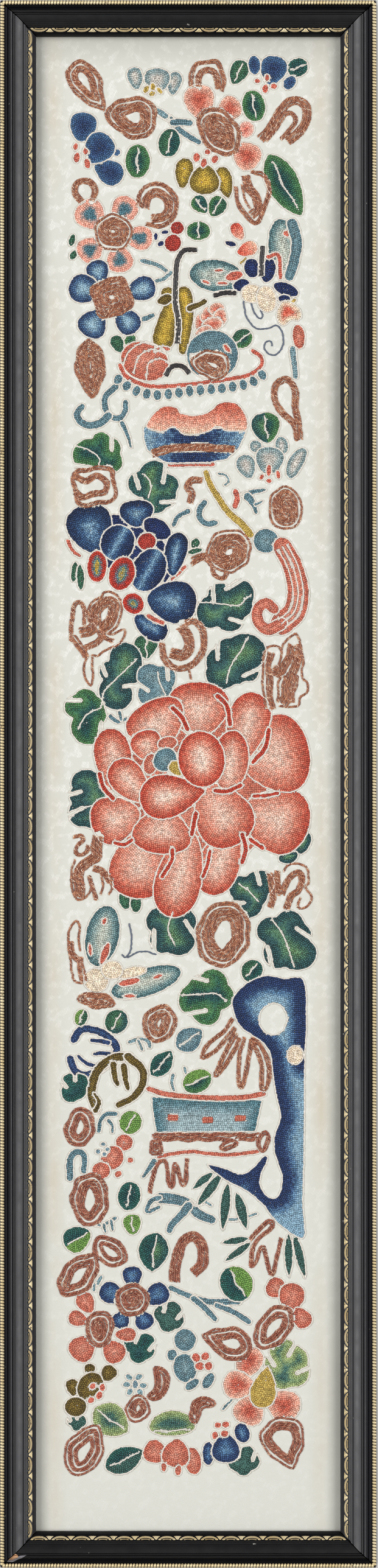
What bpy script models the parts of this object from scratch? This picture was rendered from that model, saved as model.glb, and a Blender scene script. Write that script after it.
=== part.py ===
"""An embroidered silk sleeve band, laid flat behind the sight edge of a narrow moulded picture frame.

The frame lies on its back: X runs across the band, Y up its length, Z up out of its face, and the origin is
the middle of the frame's back. Four mitred rails hold the silk in a rebate cut along their inner back edge.
"""

import math

import bmesh
import bpy
from mathutils import Vector
from mathutils.geometry import delaunay_2d_cdt

MM = 0.001

# The frame's outside, and the air between two pieces that meet
FRAME_WIDTH = 140 * MM
FRAME_LENGTH = 583 * MM
PIECE_GAP = 0.3 * MM

# The rebate on the back of each rail, which the silk lies in
RAIL_WIDTH = 13.35 * MM
REBATE_WIDTH = 5.0 * MM
REBATE_DEPTH = 7.0 * MM

# The moulding from its outer edge to its sight edge, all in millimetres: the distance from the outer edge
# at which each band ends, the height of its outer and its inner side above the back, and how far its
# middle stands above (or, below zero, lies under) the line between them
MOULDING = (
    # band, ends at, outer height, inner height, crown
    ("gilt bead bed", 1.47, 9.4, 9.8, 0.55),
    ("outer fillet", 2.15, 9.6, 9.6, 0.0),
    ("first fine ridge", 2.76, 9.9, 10.1, 0.3),
    ("outer groove", 3.56, 9.8, 10.0, -0.2),
    ("round ridge", 4.76, 10.8, 11.6, 0.4),
    ("narrow groove", 5.12, 11.3, 11.4, 0.0),
    ("second fine ridge", 5.55, 12.2, 12.4, 0.15),
    ("step", 6.10, 12.2, 12.3, 0.0),
    ("wide face", 8.50, 13.95, 12.85, 0.15),
    ("inner groove", 9.00, 12.4, 12.4, 0.0),
    ("third fine ridge", 9.70, 12.6, 12.4, 0.25),
    ("slope", 10.60, 12.1, 11.5, 0.0),
    ("gilt ornament bed", 12.05, 11.7, 11.3, 0.2),
    ("sight lip", 13.35, 11.0, 9.2, 0.35),
)
CURVE_STEPS = 6

# The silk, with its embroidered fields standing up from its face
SILK_THICKNESS = 2.0 * MM
FIELD_RISE = 0.7 * MM
FIELD_SLOPE = 0.5 * MM
FIELD_STEP = 2.6 * MM
LOBE_SHARE = 0.1

# The middle of each embroidered field from the frame's middle, its length and width in millimetres, the
# turn of its length from X in degrees, and its lobes, none for a plain oval
FIELDS = (
    # field, x, y, length, width, turn, lobes
    ("ring loop", -37.2, 259.2, 18.5, 12.0, -45, 0),
    ("ring loop", -21.1, 248.5, 15.0, 12.5, -20, 0),
    ("pale flower", -12.7, 262.4, 19.0, 12.0, 0, 5),
    ("arch", 7.6, 264.6, 13.0, 10.0, 0, 0),
    ("leaf", 19.2, 264.0, 9.0, 8.0, 0, 0),
    ("blue flower", 32.6, 266.5, 16.0, 13.0, 0, 5),
    ("curl", 38.5, 248.5, 19.0, 13.0, 55, 0),
    ("pink flower", 10.5, 244.0, 24.0, 22.0, 0, 5),
    ("olive flower", 4.5, 226.0, 22.0, 11.0, 0, 3),
    ("leaf", -19.3, 232.5, 12.0, 9.5, 60, 0),
    ("blue flower", -34.0, 236.0, 22.0, 18.0, -50, 5),
    ("long leaf", 35.5, 223.6, 20.0, 10.0, -60, 0),
    ("curl", 22.8, 218.9, 13.0, 9.0, 60, 0),
    ("ring flower", -29.0, 205.3, 27.0, 25.0, 0, 5),
    ("bud", -6.6, 203.9, 12.0, 11.0, 0, 0),
    ("left wing", 12.0, 190.2, 20.0, 11.5, -12, 0),
    ("right wing", 37.5, 202.0, 19.0, 10.0, -65, 0),
    ("butterfly body", 32.0, 183.5, 18.0, 9.0, -25, 0),
    ("blue flower", -31.5, 179.0, 26.0, 24.0, 0, 5),
    ("gourd", -4.5, 173.0, 17.0, 11.0, 90, 2),
    ("lump", -37.5, 158.0, 14.0, 10.0, 80, 0),
    ("dish fruit", -2.0, 157.0, 36.0, 12.0, 0, 3),
    ("dish", 1.5, 146.8, 56.0, 7.0, 4, 0),
    ("long curl", 36.0, 140.3, 16.0, 9.5, -65, 0),
    ("scroll", -31.5, 137.2, 18.0, 9.5, 60, 0),
    ("bowl", 2.9, 130.4, 37.0, 20.0, 0, 0),
    ("leaf", -34.2, 122.0, 17.0, 10.5, 25, 3),
    ("grey flower", 31.0, 121.3, 22.0, 14.5, 0, 5),
    ("curl", -36.0, 110.0, 15.0, 9.5, 0, 0),
    ("leaf", -12.6, 113.5, 14.0, 10.5, 60, 3),
    ("tassel cord", 18.3, 103.7, 24.0, 5.0, -52, 0),
    ("curl", 37.0, 103.0, 13.0, 10.5, 60, 0),
    ("curl", 15.5, 90.5, 15.0, 11.5, 10, 0),
    ("blue peony", -16.0, 85.0, 46.0, 40.0, -35, 7),
    ("tassel", 36.4, 71.5, 28.0, 11.0, -70, 0),
    ("leaf", 14.7, 67.0, 20.0, 15.0, 30, 3),
    ("fan", -34.5, 59.0, 19.0, 16.0, 60, 0),
    ("fan", -3.0, 51.0, 14.0, 13.0, 0, 0),
    ("leaf", 16.9, 45.3, 20.0, 18.0, 60, 3),
    ("leaf", -33.0, 33.5, 23.0, 14.5, 45, 3),
    ("tall curl", 36.2, 41.5, 24.0, 14.0, 85, 0),
    ("coral peony", 4.5, -2.0, 74.0, 66.0, 20, 9),
    ("curl", -40.0, -31.0, 18.0, 9.0, 90, 0),
    ("curl", 38.5, -39.5, 13.0, 13.0, 0, 0),
    ("leaf", 24.5, -44.0, 11.0, 10.0, 90, 3),
    ("leaf", -20.0, -43.0, 13.0, 10.0, 20, 3),
    ("ring", 13.3, -56.5, 18.0, 17.0, 90, 0),
    ("leaf", -6.8, -53.7, 14.0, 13.0, 90, 3),
    ("butterfly", -27.0, -66.5, 30.0, 20.0, -35, 2),
    ("leaf", 35.0, -56.5, 18.0, 14.0, 60, 3),
    ("leaf", 7.2, -76.9, 18.0, 15.0, 60, 3),
    ("curl", -10.7, -89.7, 13.0, 13.0, 90, 0),
    ("blue bat", -38.0, -98.0, 18.0, 12.0, 90, 3),
    ("olive bat", -21.5, -112.5, 16.0, 12.0, 30, 3),
    ("fingers", 17.0, -101.0, 18.0, 12.0, 70, 0),
    ("planter", 5.0, -122.7, 42.0, 17.0, 0, 0),
    ("rock head", 35.0, -88.0, 26.0, 17.0, 90, 0),
    ("rock flank", 40.0, -125.0, 40.0, 9.0, 90, 0),
    ("rock foot", 33.0, -152.5, 27.0, 15.0, -40, 0),
    ("stand", 5.0, -135.5, 42.0, 6.5, 0, 0),
    ("ring", -40.0, -127.9, 13.0, 12.0, 0, 0),
    ("blossom", -26.0, -136.3, 18.0, 12.0, 50, 5),
    ("ring", -37.0, -154.8, 13.0, 17.0, 0, 0),
    ("leaf", -22.0, -158.0, 13.0, 10.0, 60, 0),
    ("ring", -39.5, -179.0, 13.0, 12.0, 0, 0),
    ("ring", -28.0, -173.6, 12.0, 10.0, 50, 0),
    ("ring", 2.5, -174.0, 17.0, 11.0, 55, 0),
    ("leaf", -13.7, -173.6, 15.0, 11.0, 60, 0),
    ("leaf", 17.6, -184.0, 14.0, 14.0, 60, 0),
    ("blue flower", -20.0, -192.2, 20.0, 19.0, 0, 5),
    ("coral flower", -36.0, -205.0, 19.0, 19.0, 0, 5),
    ("coral petals", 38.0, -189.0, 15.0, 15.0, 0, 3),
    ("bow", 14.8, -208.0, 19.0, 14.0, 20, 0),
    ("bow", 33.0, -205.5, 12.5, 9.5, -20, 0),
    ("leaf", -20.5, -209.5, 13.0, 10.0, 60, 0),
    ("teal flower", -6.0, -215.0, 17.0, 14.0, 90, 5),
    ("olive flower", -36.5, -225.7, 19.0, 17.0, 0, 5),
    ("coral flower", 28.3, -226.8, 22.0, 20.0, 0, 8),
    ("curl", -15.5, -231.5, 14.0, 11.5, 60, 0),
    ("leaf", -26.5, -238.5, 13.0, 10.0, 40, 0),
    ("leaf", -5.0, -241.0, 15.0, 9.0, 0, 0),
    ("curl", -38.3, -248.0, 18.0, 11.0, 70, 0),
    ("leaf", -23.0, -250.0, 13.0, 7.5, 0, 0),
    ("coral flower", -4.5, -252.0, 17.0, 9.5, 0, 3),
    ("blue flower", 14.2, -246.5, 18.0, 15.0, 0, 5),
    ("hook", 36.4, -246.5, 19.0, 14.0, 80, 0),
)

LACQUER_BLACK = (0.013, 0.012, 0.014)
SILK_IVORY = (0.80, 0.79, 0.73)


def clear_scene():
    for old in list(bpy.data.objects):
        bpy.data.objects.remove(old)


def paint(name, colour, roughness, metallic):
    """A plain finish for one piece."""
    finish = bpy.data.materials.new(name)
    finish.use_nodes = True
    shader = finish.node_tree.nodes["Principled BSDF"]
    shader.inputs["Base Color"].default_value = (*colour, 1)
    shader.inputs["Roughness"].default_value = roughness
    shader.inputs["Metallic"].default_value = metallic
    return finish


def place(name, shape, finish, parent, where=(0, 0, 0), turn=0.0):
    """An object of its own for a finished shape, set under its parent."""
    mesh = bpy.data.meshes.new(name)
    bmesh.ops.recalc_face_normals(shape, faces=shape.faces)
    shape.to_mesh(mesh)
    shape.free()
    mesh.materials.append(finish)
    piece = bpy.data.objects.new(name, mesh)
    piece.parent = parent
    piece.location = where
    piece.rotation_euler.z = turn
    bpy.context.collection.objects.link(piece)


def moulding_points():
    """The rail's section as points of distance from the outer edge and height, once around."""
    points = [(0.0, 0.0)]
    start = 0.0
    for _, end, outer, inner, crown in MOULDING:
        steps = CURVE_STEPS if crown else 1
        for i in range(steps + 1):
            share = i / steps
            inward = start + (end - start) * share
            height = outer + (inner - outer) * share + crown * math.sin(math.pi * share)
            points.append((inward * MM, height * MM))
        start = end
    rebate_side = RAIL_WIDTH - REBATE_WIDTH
    points += [(RAIL_WIDTH, REBATE_DEPTH), (rebate_side, REBATE_DEPTH), (rebate_side, 0.0)]
    return points


def rail(name, length, finish, parent, where, turn):
    """One mitred rail: its outer edge lies along X through its own origin, and its section runs to -Y."""
    shape = bmesh.new()
    rings = []
    clearance = PIECE_GAP / 2 * math.sqrt(2)
    for side in (-1, 1):
        ring = []
        for inward, height in moulding_points():
            half = length / 2 - inward - clearance
            ring.append(shape.verts.new((side * half, -inward, height)))
        rings.append(ring)
    near, far = rings
    count = len(near)
    for i in range(count):
        follow = (i + 1) % count
        shape.faces.new((near[i], near[follow], far[follow], far[i]))
    shape.faces.new(near)
    shape.faces.new(far)
    bmesh.ops.triangulate(shape, faces=[f for f in shape.faces if len(f.verts) > 4])
    place(name, shape, finish, parent, where, turn)


def field_outline(x, y, length, width, turn, lobes, inset):
    """Points round an embroidered field, drawn in by the inset."""
    around = math.pi * (length + width) / 2 * MM
    steps = max(10, round(around / FIELD_STEP), lobes * 4)
    turned = math.radians(turn)
    outline = []
    for i in range(steps):
        angle = 2 * math.pi * i / steps
        reach = 1 + LOBE_SHARE * math.cos(lobes * angle) if lobes else 1.0
        along = (length / 2 * MM - inset) * math.cos(angle) * reach
        across = (width / 2 * MM - inset) * math.sin(angle) * reach
        outline.append(
            Vector((
                x * MM + along * math.cos(turned) - across * math.sin(turned),
                y * MM + along * math.sin(turned) + across * math.cos(turned),
            ))
        )
    return outline


def silk(name, finish, parent):
    """The silk: a flat sheet in the rebate, whose face rises over each embroidered field."""
    half_x = FRAME_WIDTH / 2 - RAIL_WIDTH + REBATE_WIDTH - PIECE_GAP
    half_y = FRAME_LENGTH / 2 - RAIL_WIDTH + REBATE_WIDTH - PIECE_GAP
    face_height = REBATE_DEPTH - PIECE_GAP
    back_height = face_height - SILK_THICKNESS

    spots = [Vector((sx * half_x, sy * half_y)) for sx, sy in ((-1, -1), (1, -1), (1, 1), (-1, 1))]
    heights = [face_height] * 4
    outlines = [[0, 1, 2, 3]]
    for _, x, y, length, width, turn, lobes in FIELDS:
        for inset, height in ((0.0, face_height), (FIELD_SLOPE, face_height + FIELD_RISE)):
            ring = field_outline(x, y, length, width, turn, lobes, inset)
            outlines.append(list(range(len(spots), len(spots) + len(ring))))
            spots += ring
            heights += [height] * len(ring)
    found, _, triangles, origins, _, _ = delaunay_2d_cdt(spots, [], outlines, 1, 1e-6)

    shape = bmesh.new()
    face = []
    for spot, origin in zip(found, origins):
        if not origin:
            raise ValueError("two embroidered fields cross")
        face.append(shape.verts.new((spot.x, spot.y, heights[origin[0]])))
    for corners in triangles:
        shape.faces.new([face[i] for i in corners])
    back = [shape.verts.new((spot.x, spot.y, back_height)) for spot in spots[:4]]
    for i in range(4):
        follow = (i + 1) % 4
        shape.faces.new((face[i], face[follow], back[follow], back[i]))
    shape.faces.new(back)
    place(name, shape, finish, parent)


def build():
    clear_scene()
    picture = bpy.data.objects.new("picture", None)
    bpy.context.collection.objects.link(picture)

    lacquer = paint("black_lacquered_wood", LACQUER_BLACK, 0.35, 0.0)
    top = Vector((0, FRAME_LENGTH / 2, 0))
    side = Vector((FRAME_WIDTH / 2, 0, 0))
    quarter = math.pi / 2
    rail("rail_top", FRAME_WIDTH, lacquer.copy(), picture, top, 0)
    rail("rail_left", FRAME_LENGTH, lacquer.copy(), picture, -side, quarter)
    rail("rail_right", FRAME_LENGTH, lacquer.copy(), picture, side, -quarter)
    rail("rail_bottom", FRAME_WIDTH, lacquer, picture, -top, 2 * quarter)

    silk("embroidered_silk", paint("ivory_silk", SILK_IVORY, 0.6, 0.0), picture)


build()
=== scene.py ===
"""The looks of the embroidered silk sleeve band and the narrow black and gilt frame that holds it.

Every motif is drawn by the functions below from a place, a size and a turn, and then worked as the real one
is: rows of seed knots in floss silk, a couched white cord round each field, and couched copper thread.
"""

import math

import bmesh
import bpy
import numpy as np
from bpy.props import FloatProperty, FloatVectorProperty, IntProperty, PointerProperty
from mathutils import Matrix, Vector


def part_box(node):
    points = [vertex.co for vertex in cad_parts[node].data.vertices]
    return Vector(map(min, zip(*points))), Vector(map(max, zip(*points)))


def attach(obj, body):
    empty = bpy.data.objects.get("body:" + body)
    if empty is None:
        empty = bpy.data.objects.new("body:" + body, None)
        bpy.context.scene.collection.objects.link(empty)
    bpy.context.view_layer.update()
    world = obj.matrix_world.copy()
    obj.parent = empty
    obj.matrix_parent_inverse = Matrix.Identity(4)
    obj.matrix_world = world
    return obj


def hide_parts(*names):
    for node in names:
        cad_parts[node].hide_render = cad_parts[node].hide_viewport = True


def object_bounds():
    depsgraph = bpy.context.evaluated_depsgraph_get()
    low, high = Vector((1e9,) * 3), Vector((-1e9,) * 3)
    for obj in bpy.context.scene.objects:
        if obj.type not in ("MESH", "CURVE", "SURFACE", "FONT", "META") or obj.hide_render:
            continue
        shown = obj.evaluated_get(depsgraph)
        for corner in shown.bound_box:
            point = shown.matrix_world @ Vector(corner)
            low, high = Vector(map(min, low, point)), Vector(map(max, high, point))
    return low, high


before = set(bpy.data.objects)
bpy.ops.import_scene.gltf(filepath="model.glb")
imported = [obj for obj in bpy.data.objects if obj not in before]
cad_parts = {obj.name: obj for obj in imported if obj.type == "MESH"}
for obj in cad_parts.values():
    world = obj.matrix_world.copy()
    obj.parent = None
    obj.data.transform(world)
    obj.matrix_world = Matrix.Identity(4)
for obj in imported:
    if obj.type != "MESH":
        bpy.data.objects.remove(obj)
CAD_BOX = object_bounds()

bl_info = {
    "name": "Embroidered sleeve band",
    "version": (1, 0, 0),
    "blender": (4, 5, 0),
    "location": "3D View > Sidebar > Sleeve band",
    "description": "Works the knots, couched threads and gilt ornament of a framed silk sleeve band",
    "category": "Add Mesh",
}

MM = 0.001
BODY = "root"

# The scale of the photograph, which the motifs' places are read from, and the frame's middle in it
PHOTO_MM = 0.22636
PHOTO_MIDDLE_X = 309.25
PHOTO_MIDDLE_Y = 1288.0
PHOTO_WIDTH = 621
PHOTO_HEIGHT = 2576

# The silk, in millimetres over the frame's back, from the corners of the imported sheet: its back and its face,
# the puckers of its face and its number of faces across and along
SILK_LOW, SILK_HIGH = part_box("embroidered_silk")
SILK_LIFT = 0.1
SILK_THICKNESS = 1.9
SILK_BACK = SILK_LOW[2] / MM + SILK_LIFT
SILK_FACE = SILK_BACK + SILK_THICKNESS
PUCKER = 0.05
SILK_COLUMNS = 30
SILK_ROWS = 130

# The steps of an outline, of a ribbon's middle and of a laid line, in millimetres
OUTLINE_STEP = 0.45
RIBBON_STEP = 0.6
LINE_STEP = 0.5

# Cut leaves: the breadth of a lobe as a share of its stated width, the depth of a slot as a share of the
# leaf's reach, the most that it leans from straight inwards in radians, and its width in millimetres
LOBE_BREADTH = 1.8
SLOT_DEPTH = 0.68
MOST_LEAN = 0.52
SLOT_WIDTH = 1.25

# Rows of knots, in millimetres: the first one's depth, the step to the next, how far a row may stray from its
# depth, the break that ends it, the jitter of a knot, and the bare cloth that it leaves beside a later field,
# beside one without a cord and beside a laid line, which is looked for within a reach
FIRST_ROW = 0.60
ROW_STEP = 0.70
ROW_TOLERANCE = 0.07
ROW_BREAK = 1.2
KNOT_JITTER = 0.045
LAYER_CLEARANCE = 0.42
BARE_CLEARANCE = 0.1
LINE_CLEARANCE = 0.46
FARTHEST_LINE = 30

# The least room between two knots, as a share of their pitch, and between the knots that fill what is left
# and the outline, as a share of the first row's depth
CLOSEST_KNOTS = 0.69
EDGE_ROOM = 0.85

# How the colours of a field run: the least depth of its whole ramp and the reach of a dark edge in
# millimetres, the weights of depth and length in a cupped petal, the spread of shade and dye from knot to
# knot, and the palest that floss gets
RAMP_DEPTH = 2.2
DARK_EDGE_REACH = 7.5
CUP_DEPTH = 0.75
CUP_FOOT = 0.45
SHADE_SPREAD = 0.09
DYE_SPREAD = (0.84, 1.24)
PALEST = 0.93

# A knot: its length and breadth as shares of a round one, the turns and sizes that it comes in, the heights
# over the silk, in millimetres, where its painted shade is darkest and lightest, and the most knots in a piece
KNOT_LENGTH = 1.1
KNOT_BREADTH = 0.92
KNOT_TURNS = (0, 6.28)
KNOT_SIZES = (0.9, 1.16)
KNOT_FOOT = 0.07
KNOT_CREST = 0.29
KNOTS_A_PIECE = 12000

# The painted shade between the knots multiplies the dye by itself times the slope plus the level, and the
# painted highlight on their crests multiplies it by the light, in red, green and blue
GAP_SLOPE = (0.68, 0.66, 0.64)
GAP_LEVEL = (0.32, 0.30, 0.29)
CREST_LIGHT = (1.14, 1.14, 1.14)

# Laid cords, in millimetres: the step between points, how far they wander to the sides, how much a free
# point stands above a tied one, the relative thickness at both, and the height of a white cord's middle
# over the silk
THREAD_STEP = 0.85
THREAD_WANDER = 0.08
THREAD_LIFT = 0.03
FREE_SIZE = 1.08
TIED_SIZE = 0.84
CORD_HEIGHT = 0.16

# Black satin strokes, in millimetres: their width, their middle's height over the silk, the distance of the
# white cords beside them, and the bare cloth on each side of their middle
SATIN_WIDTH = 2.1
SATIN_HEIGHT = -0.35
SATIN_EDGE = 1.12
SATIN_CLEARANCE = 1.0

# Veins stray from a leaf's middle in waves, across the band and along it: how far in millimetres, and how
# many radians of the wave there are in the whole vein
VEIN_SWAY_X = 0.3
VEIN_WAVES_X = 9
VEIN_SWAY_Y = 0.25
VEIN_WAVES_Y = 8

# Copper cords, in millimetres: a coil's first row, the step to the next, the gap of bare silk, the break that
# ends a row, the bare cloth left beside a later field, and how far rows sway
COIL_FIRST = 0.42
COIL_STEP = 0.80
COIL_GAP = 0.62
COIL_BREAK = 1.6
COIL_CLEARANCE = 0.2
COIL_SWAY = 0.26

# The waves of that sway in radians a millimetre: along the band and across it where a row sways across the
# band, and across it where a row sways along it
COIL_WAVE_UP = 0.75
COIL_WAVE_ACROSS = 0.4
COIL_WAVE_DOWN = 0.8

# Copper cords in strokes, in millimetres: the break that ends a cord and the bare cloth beside the outer
# ones. Then every copper cord: its width, how far it strays, the step and the number of the points that
# this is smoothed over, and its red core's step, width as a share of the cord's, and height over the silk
STROKE_BREAK = 1.0
STROKE_CLEARANCE = 0.3
COPPER_WIDTH = 0.88
COPPER_STRAY = 0.24
SWAY_STEP = 0.7
SWAY_POINTS = 5
CORE_STEP = 1.1
CORE_SHARE = 0.92
CORE_HEIGHT = 0.14

# One winding of a copper cord, in shares of the cord's width: its length, how it turns and slants with its
# breadth and length, its breadth and height, its middle's height, and the sizes that it comes in
GRAIN_LENGTH = 0.88
GRAIN_TWIST = 0.10
GRAIN_BREADTH = 1.1
GRAIN_SLANT = 0.66
GRAIN_HEIGHT = 0.9
GRAIN_LIFT = 0.26
WINDING_SIZES = (0.92, 1.12)

# Gilt on the rails, in millimetres: distances from the outer edge, heights over the back, and the heights
# of a ridge's edge and root over its bed. Then, as shares, the slope of the sight edge and a bead's lean
# and breadth
BEAD_MIDDLE = 0.84
BEAD_BED = 9.95
SCALLOP_EDGE = 10.62
SCALLOP_BED = 11.72
RIDGE_EDGE = 0.06
RIDGE_ROOT = -0.45
SCALLOP_SLOPE = 0.276
BEAD_LEAN = 0.2
BEAD_BREADTH = 1.44

# The chip beside the lower left mitre, from the frame's lower left corner, each part clockwise: its dusty
# edge and tail, then its bare wood
CHIPS = (
    # corners in millimetres, darker colour, lighter colour
    (((2.2, 2.2), (3.2, 3.2), (7.3, 4.6), (7.8, 3.5), (4.6, 2.1)), "#77747A", "#9A979B"),
    (((6.6, 4.4), (7.4, 4.8), (10.4, 5.2), (7.6, 3.4)), "#77747A", "#9A979B"),
    (((2.9, 2.9), (5.4, 6.0), (6.6, 5.2), (7.0, 4.2), (4.8, 2.9)), "#B98A62", "#E0B48E"),
)
CHIP_SOFTNESS = 0.18

# The lacquer of each rail: the side rails are greyer, painted sheen of the side lights, and shine more broadly
RAIL_LACQUER = (
    # rail, ground colour, specular level of its high members
    ("rail_top", "#0C0C0F", 0.46),
    # The side rails' greyer grounds are painted sheen
    ("rail_left", "#2A2A2E", 0.72),
    ("rail_right", "#2C2C30", 0.78),
    ("rail_bottom", "#0B0B0E", 0.40),
)

# The size of one lump or strand of each finish's pattern, in millimetres, drawn coarser than the real one
# where that is too fine to show
FLOAT_CLUSTER = 3.3333
WEAVE_GRAIN = 0.76923
FOLD_BLOTCH = 45.4545
FLOSS_STRAND = 0.26316
CORD_PLY = 0.47619
SATIN_STRAND = 0.38462
FOIL_CREASE = 0.33333
DUST_SPECK = 1.92308
RUBBED_STREAK = 3.84615
WOOD_GRAIN = 1.11111
GILT_WEAR = 1.11111
GILT_CLOUD = 8.3333
PAPER_CLOUD = 16.6667

# The floats of the damask: the gap round one in millimetres, and its breadth as a share of its length
FLOAT_GAP = 0.17
FLOAT_BREADTH = 0.19

# The stage in metres, apart from the height of the frame's face in millimetres: the camera over that face,
# the floor's half width, the softboxes' size and place, and the strength of the even light from all round
CAMERA_HEIGHT = 1.9
FRAME_FACE = 10.0
FLOOR_REACH = 30.0
SOFTBOX_SIZE = (1.02, 2.21)
SOFTBOX_AWAY = 1.62
SOFTBOX_FORWARD = 0.2
SKY_STRENGTH = 0.26
SOFTBOXES = (
    # name, side, watts
    ("left softbox", -1, 34.7),
    ("right softbox", 1, 32.4),
)

# Shades of floss: how the shades run over a field, then the colours from the edge or foot to the heart
SHADES = {
    "coral": ("edge", "#C97660", "#D28A74", "#DB9F8A"),
    "coral seed": ("edge", "#CF7561", "#D68873"),
    "coral tip": ("along", "#F0CDB8", "#EBAF9A", "#DF7F68", "#CC5440"),
    "coral foot": ("along", "#CC4F3A", "#DD7C64", "#E9AA93", "#F1CFB9"),
    "coral heart": ("edge", "#E8C2B0", "#E0AA96", "#D27C66", "#C46450"),
    "pink": ("edge", "#EFC9BC", "#E8AE9E", "#DF8B79"),
    "pink teal": ("edge", "#E9B4A2", "#EBBBA9", "#5C8793", "#557F8C"),
    "red": ("edge", "#AF3F33", "#BD4D3F"),
    "cream": ("edge", "#E9DCC8", "#EDE3D3"),
    "blue": ("edge", "#2C4470", "#34527F", "#5880A6", "#6C94B4"),
    "blue pale": ("edge", "#30466E", "#4E7298", "#92B2C4", "#A8C2CE"),
    "navy": ("edge", "#1D2F60", "#263A70"),
    "lilac": ("edge", "#8CA4A8", "#ABB9B8", "#CDCAC4", "#DAD6CE"),
    "grey blue": ("edge", "#7E9AA6", "#94ABB5", "#A9BBC2"),
    "teal": ("edge", "#6A8C97", "#7A99A2", "#8DA8AE"),
    "teal pale": ("edge", "#86A4AC", "#9CB6BC", "#B6CACE"),
    "dark leaf": ("edge", "#2F6A60", "#235A58", "#1C4C50"),
    "sage": ("edge", "#3C655D", "#4A756B"),
    "green leaf": ("edge", "#3A6B55", "#447659", "#568763"),
    "bright leaf": ("edge", "#7FA558", "#76A052", "#8FB560"),
    "rim leaf": ("edge", "#5A8A58", "#437A57", "#265C56", "#1D4A4E"),
    "inner leaf": ("edge", "#315F60", "#3F6E64", "#588464", "#779C6C"),
    "olive": ("edge", "#6B5A26", "#7E6A2C", "#8A7534"),
    "olive gold": ("edge", "#857232", "#A58F3A", "#C7AE4A", "#D5B94C"),
    "yellow": ("edge", "#C4AC5A", "#CFB968"),
    "lime rim": ("edge", "#AEBB86", "#92A97A", "#527C6E", "#3E6866"),
    "coral deep": ("edge", "#C24A34", "#CF5F47"),
    "shell": ("edge", "#E9DCC8", "#E3C9B4", "#DF8068", "#D4614A"),
    "blue mid": ("edge", "#4E7498", "#3E608A", "#304B78", "#2A4068"),
    "dark rim": ("edge", "#2C5458", "#386464", "#5A866C", "#749A70"),
    "pod": ("edge", "#C64A38", "#B93A2C", "#5A8E9A", "#CDB048"),
    "peony coral": ("cupped", "#C4543F", "#CE705A", "#D89079", "#E1B09D", "#E8C8B8", "#EBD5C8"),
    "peony heart": ("edge", "#C4503B", "#D0705A", "#DC957F", "#E7B9A6", "#EDD3C5", "#EFDCD0"),
    "peony blue": ("cupped", "#1C2C50", "#20365C", "#28446E", "#3C618A", "#7398B4", "#A0BCCA"),
    "peony streak": ("streak", "#1C2C52", "#213760", "#263F6C", "#406690", "#8CB0C6"),
    "bowl": ("across", "#A4C0CC", "#6C92B0", "#2E4A78", "#22325C", "#2E4A78", "#6C92B0", "#A4C0CC"),
    "collar": ("down", "#E9DCC8", "#EBC2AE", "#E2A48E", "#D88870", "#CF6A54"),
    "wing": ("edge", "#52787E", "#80A0A2", "#A8BAB6", "#C2CAC2", "#CED2C8"),
    "rock": ("edge", "#243A68", "#28406E", "#2F4A78", "#628AAC", "#96B6C8"),
    "planter": ("edge", "#54818C", "#68909A", "#86A4AC", "#A6BCC2", "#AEC2C6"),
}

# Shades of the copper-wrapped thread, from bright to dark windings, and how often each comes
COPPER_CHANCES = (0.24, 0.36, 0.26, 0.14)
COPPER = {
    "copper": ("#FBDCC0", "#E6A880", "#C98560", "#96563B"),
    "red copper": ("#F0C2A4", "#D2846A", "#B0604A", "#873F30"),
}


def hex_colour(text):
    """The linear colour of an sRGB hex value."""
    values = [int(text[i:i + 2], 16) / 255 for i in (1, 3, 5)]
    return tuple(v / 12.92 if v <= 0.04045 else ((v + 0.055) / 1.055) ** 2.4 for v in values)


def spot(px, py):
    """A place on the cloth, in millimetres from its middle, for a pixel of the photograph."""
    return ((px - PHOTO_MIDDLE_X) * PHOTO_MM, (PHOTO_MIDDLE_Y - py) * PHOTO_MM)


def spots(path):
    """The places on the cloth of a path of pixels."""
    return np.array([spot(px, py) for px, py in path])


def resampled(points, step, closed):
    """The same line with points an even step apart."""
    line = np.vstack([points, points[:1]]) if closed else points
    lengths = np.linalg.norm(np.diff(line, axis=0), axis=1)
    travelled = np.concatenate([[0], np.cumsum(lengths)])
    count = max(8 if closed else 2, round(travelled[-1] / step))
    stops = np.linspace(0, travelled[-1], count + 1)
    if closed:
        stops = stops[:-1]
    return np.column_stack([np.interp(stops, travelled, line[:, axis]) for axis in (0, 1)])


def smooth(points, closed, parts=8):
    """A smooth line through a few points, by Catmull and Rom's cubic."""
    count = len(points)
    if count < 3 and not closed:
        return points
    if closed:
        padded = np.vstack([points[-1:], points, points[:2]])
        spans = count
    else:
        padded = np.vstack([2 * points[:1] - points[1:2], points, 2 * points[-1:] - points[-2:-1]])
        spans = count - 1
    line = []
    for i in range(spans):
        a, b, c, d = padded[i:i + 4]
        for part in range(parts):
            t = part / parts
            line.append(
                0.5 * (2 * b + (c - a) * t + (2 * a - 5 * b + 4 * c - d) * t * t
                       + (3 * b - a - 3 * c + d) * t ** 3)
            )
    if not closed:
        line.append(points[-1])
    return np.array(line)


def line_along(path, step):
    """A smooth line along a path of pixels, with points an even step apart."""
    return resampled(smooth(spots(path), False), step, False)


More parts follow.
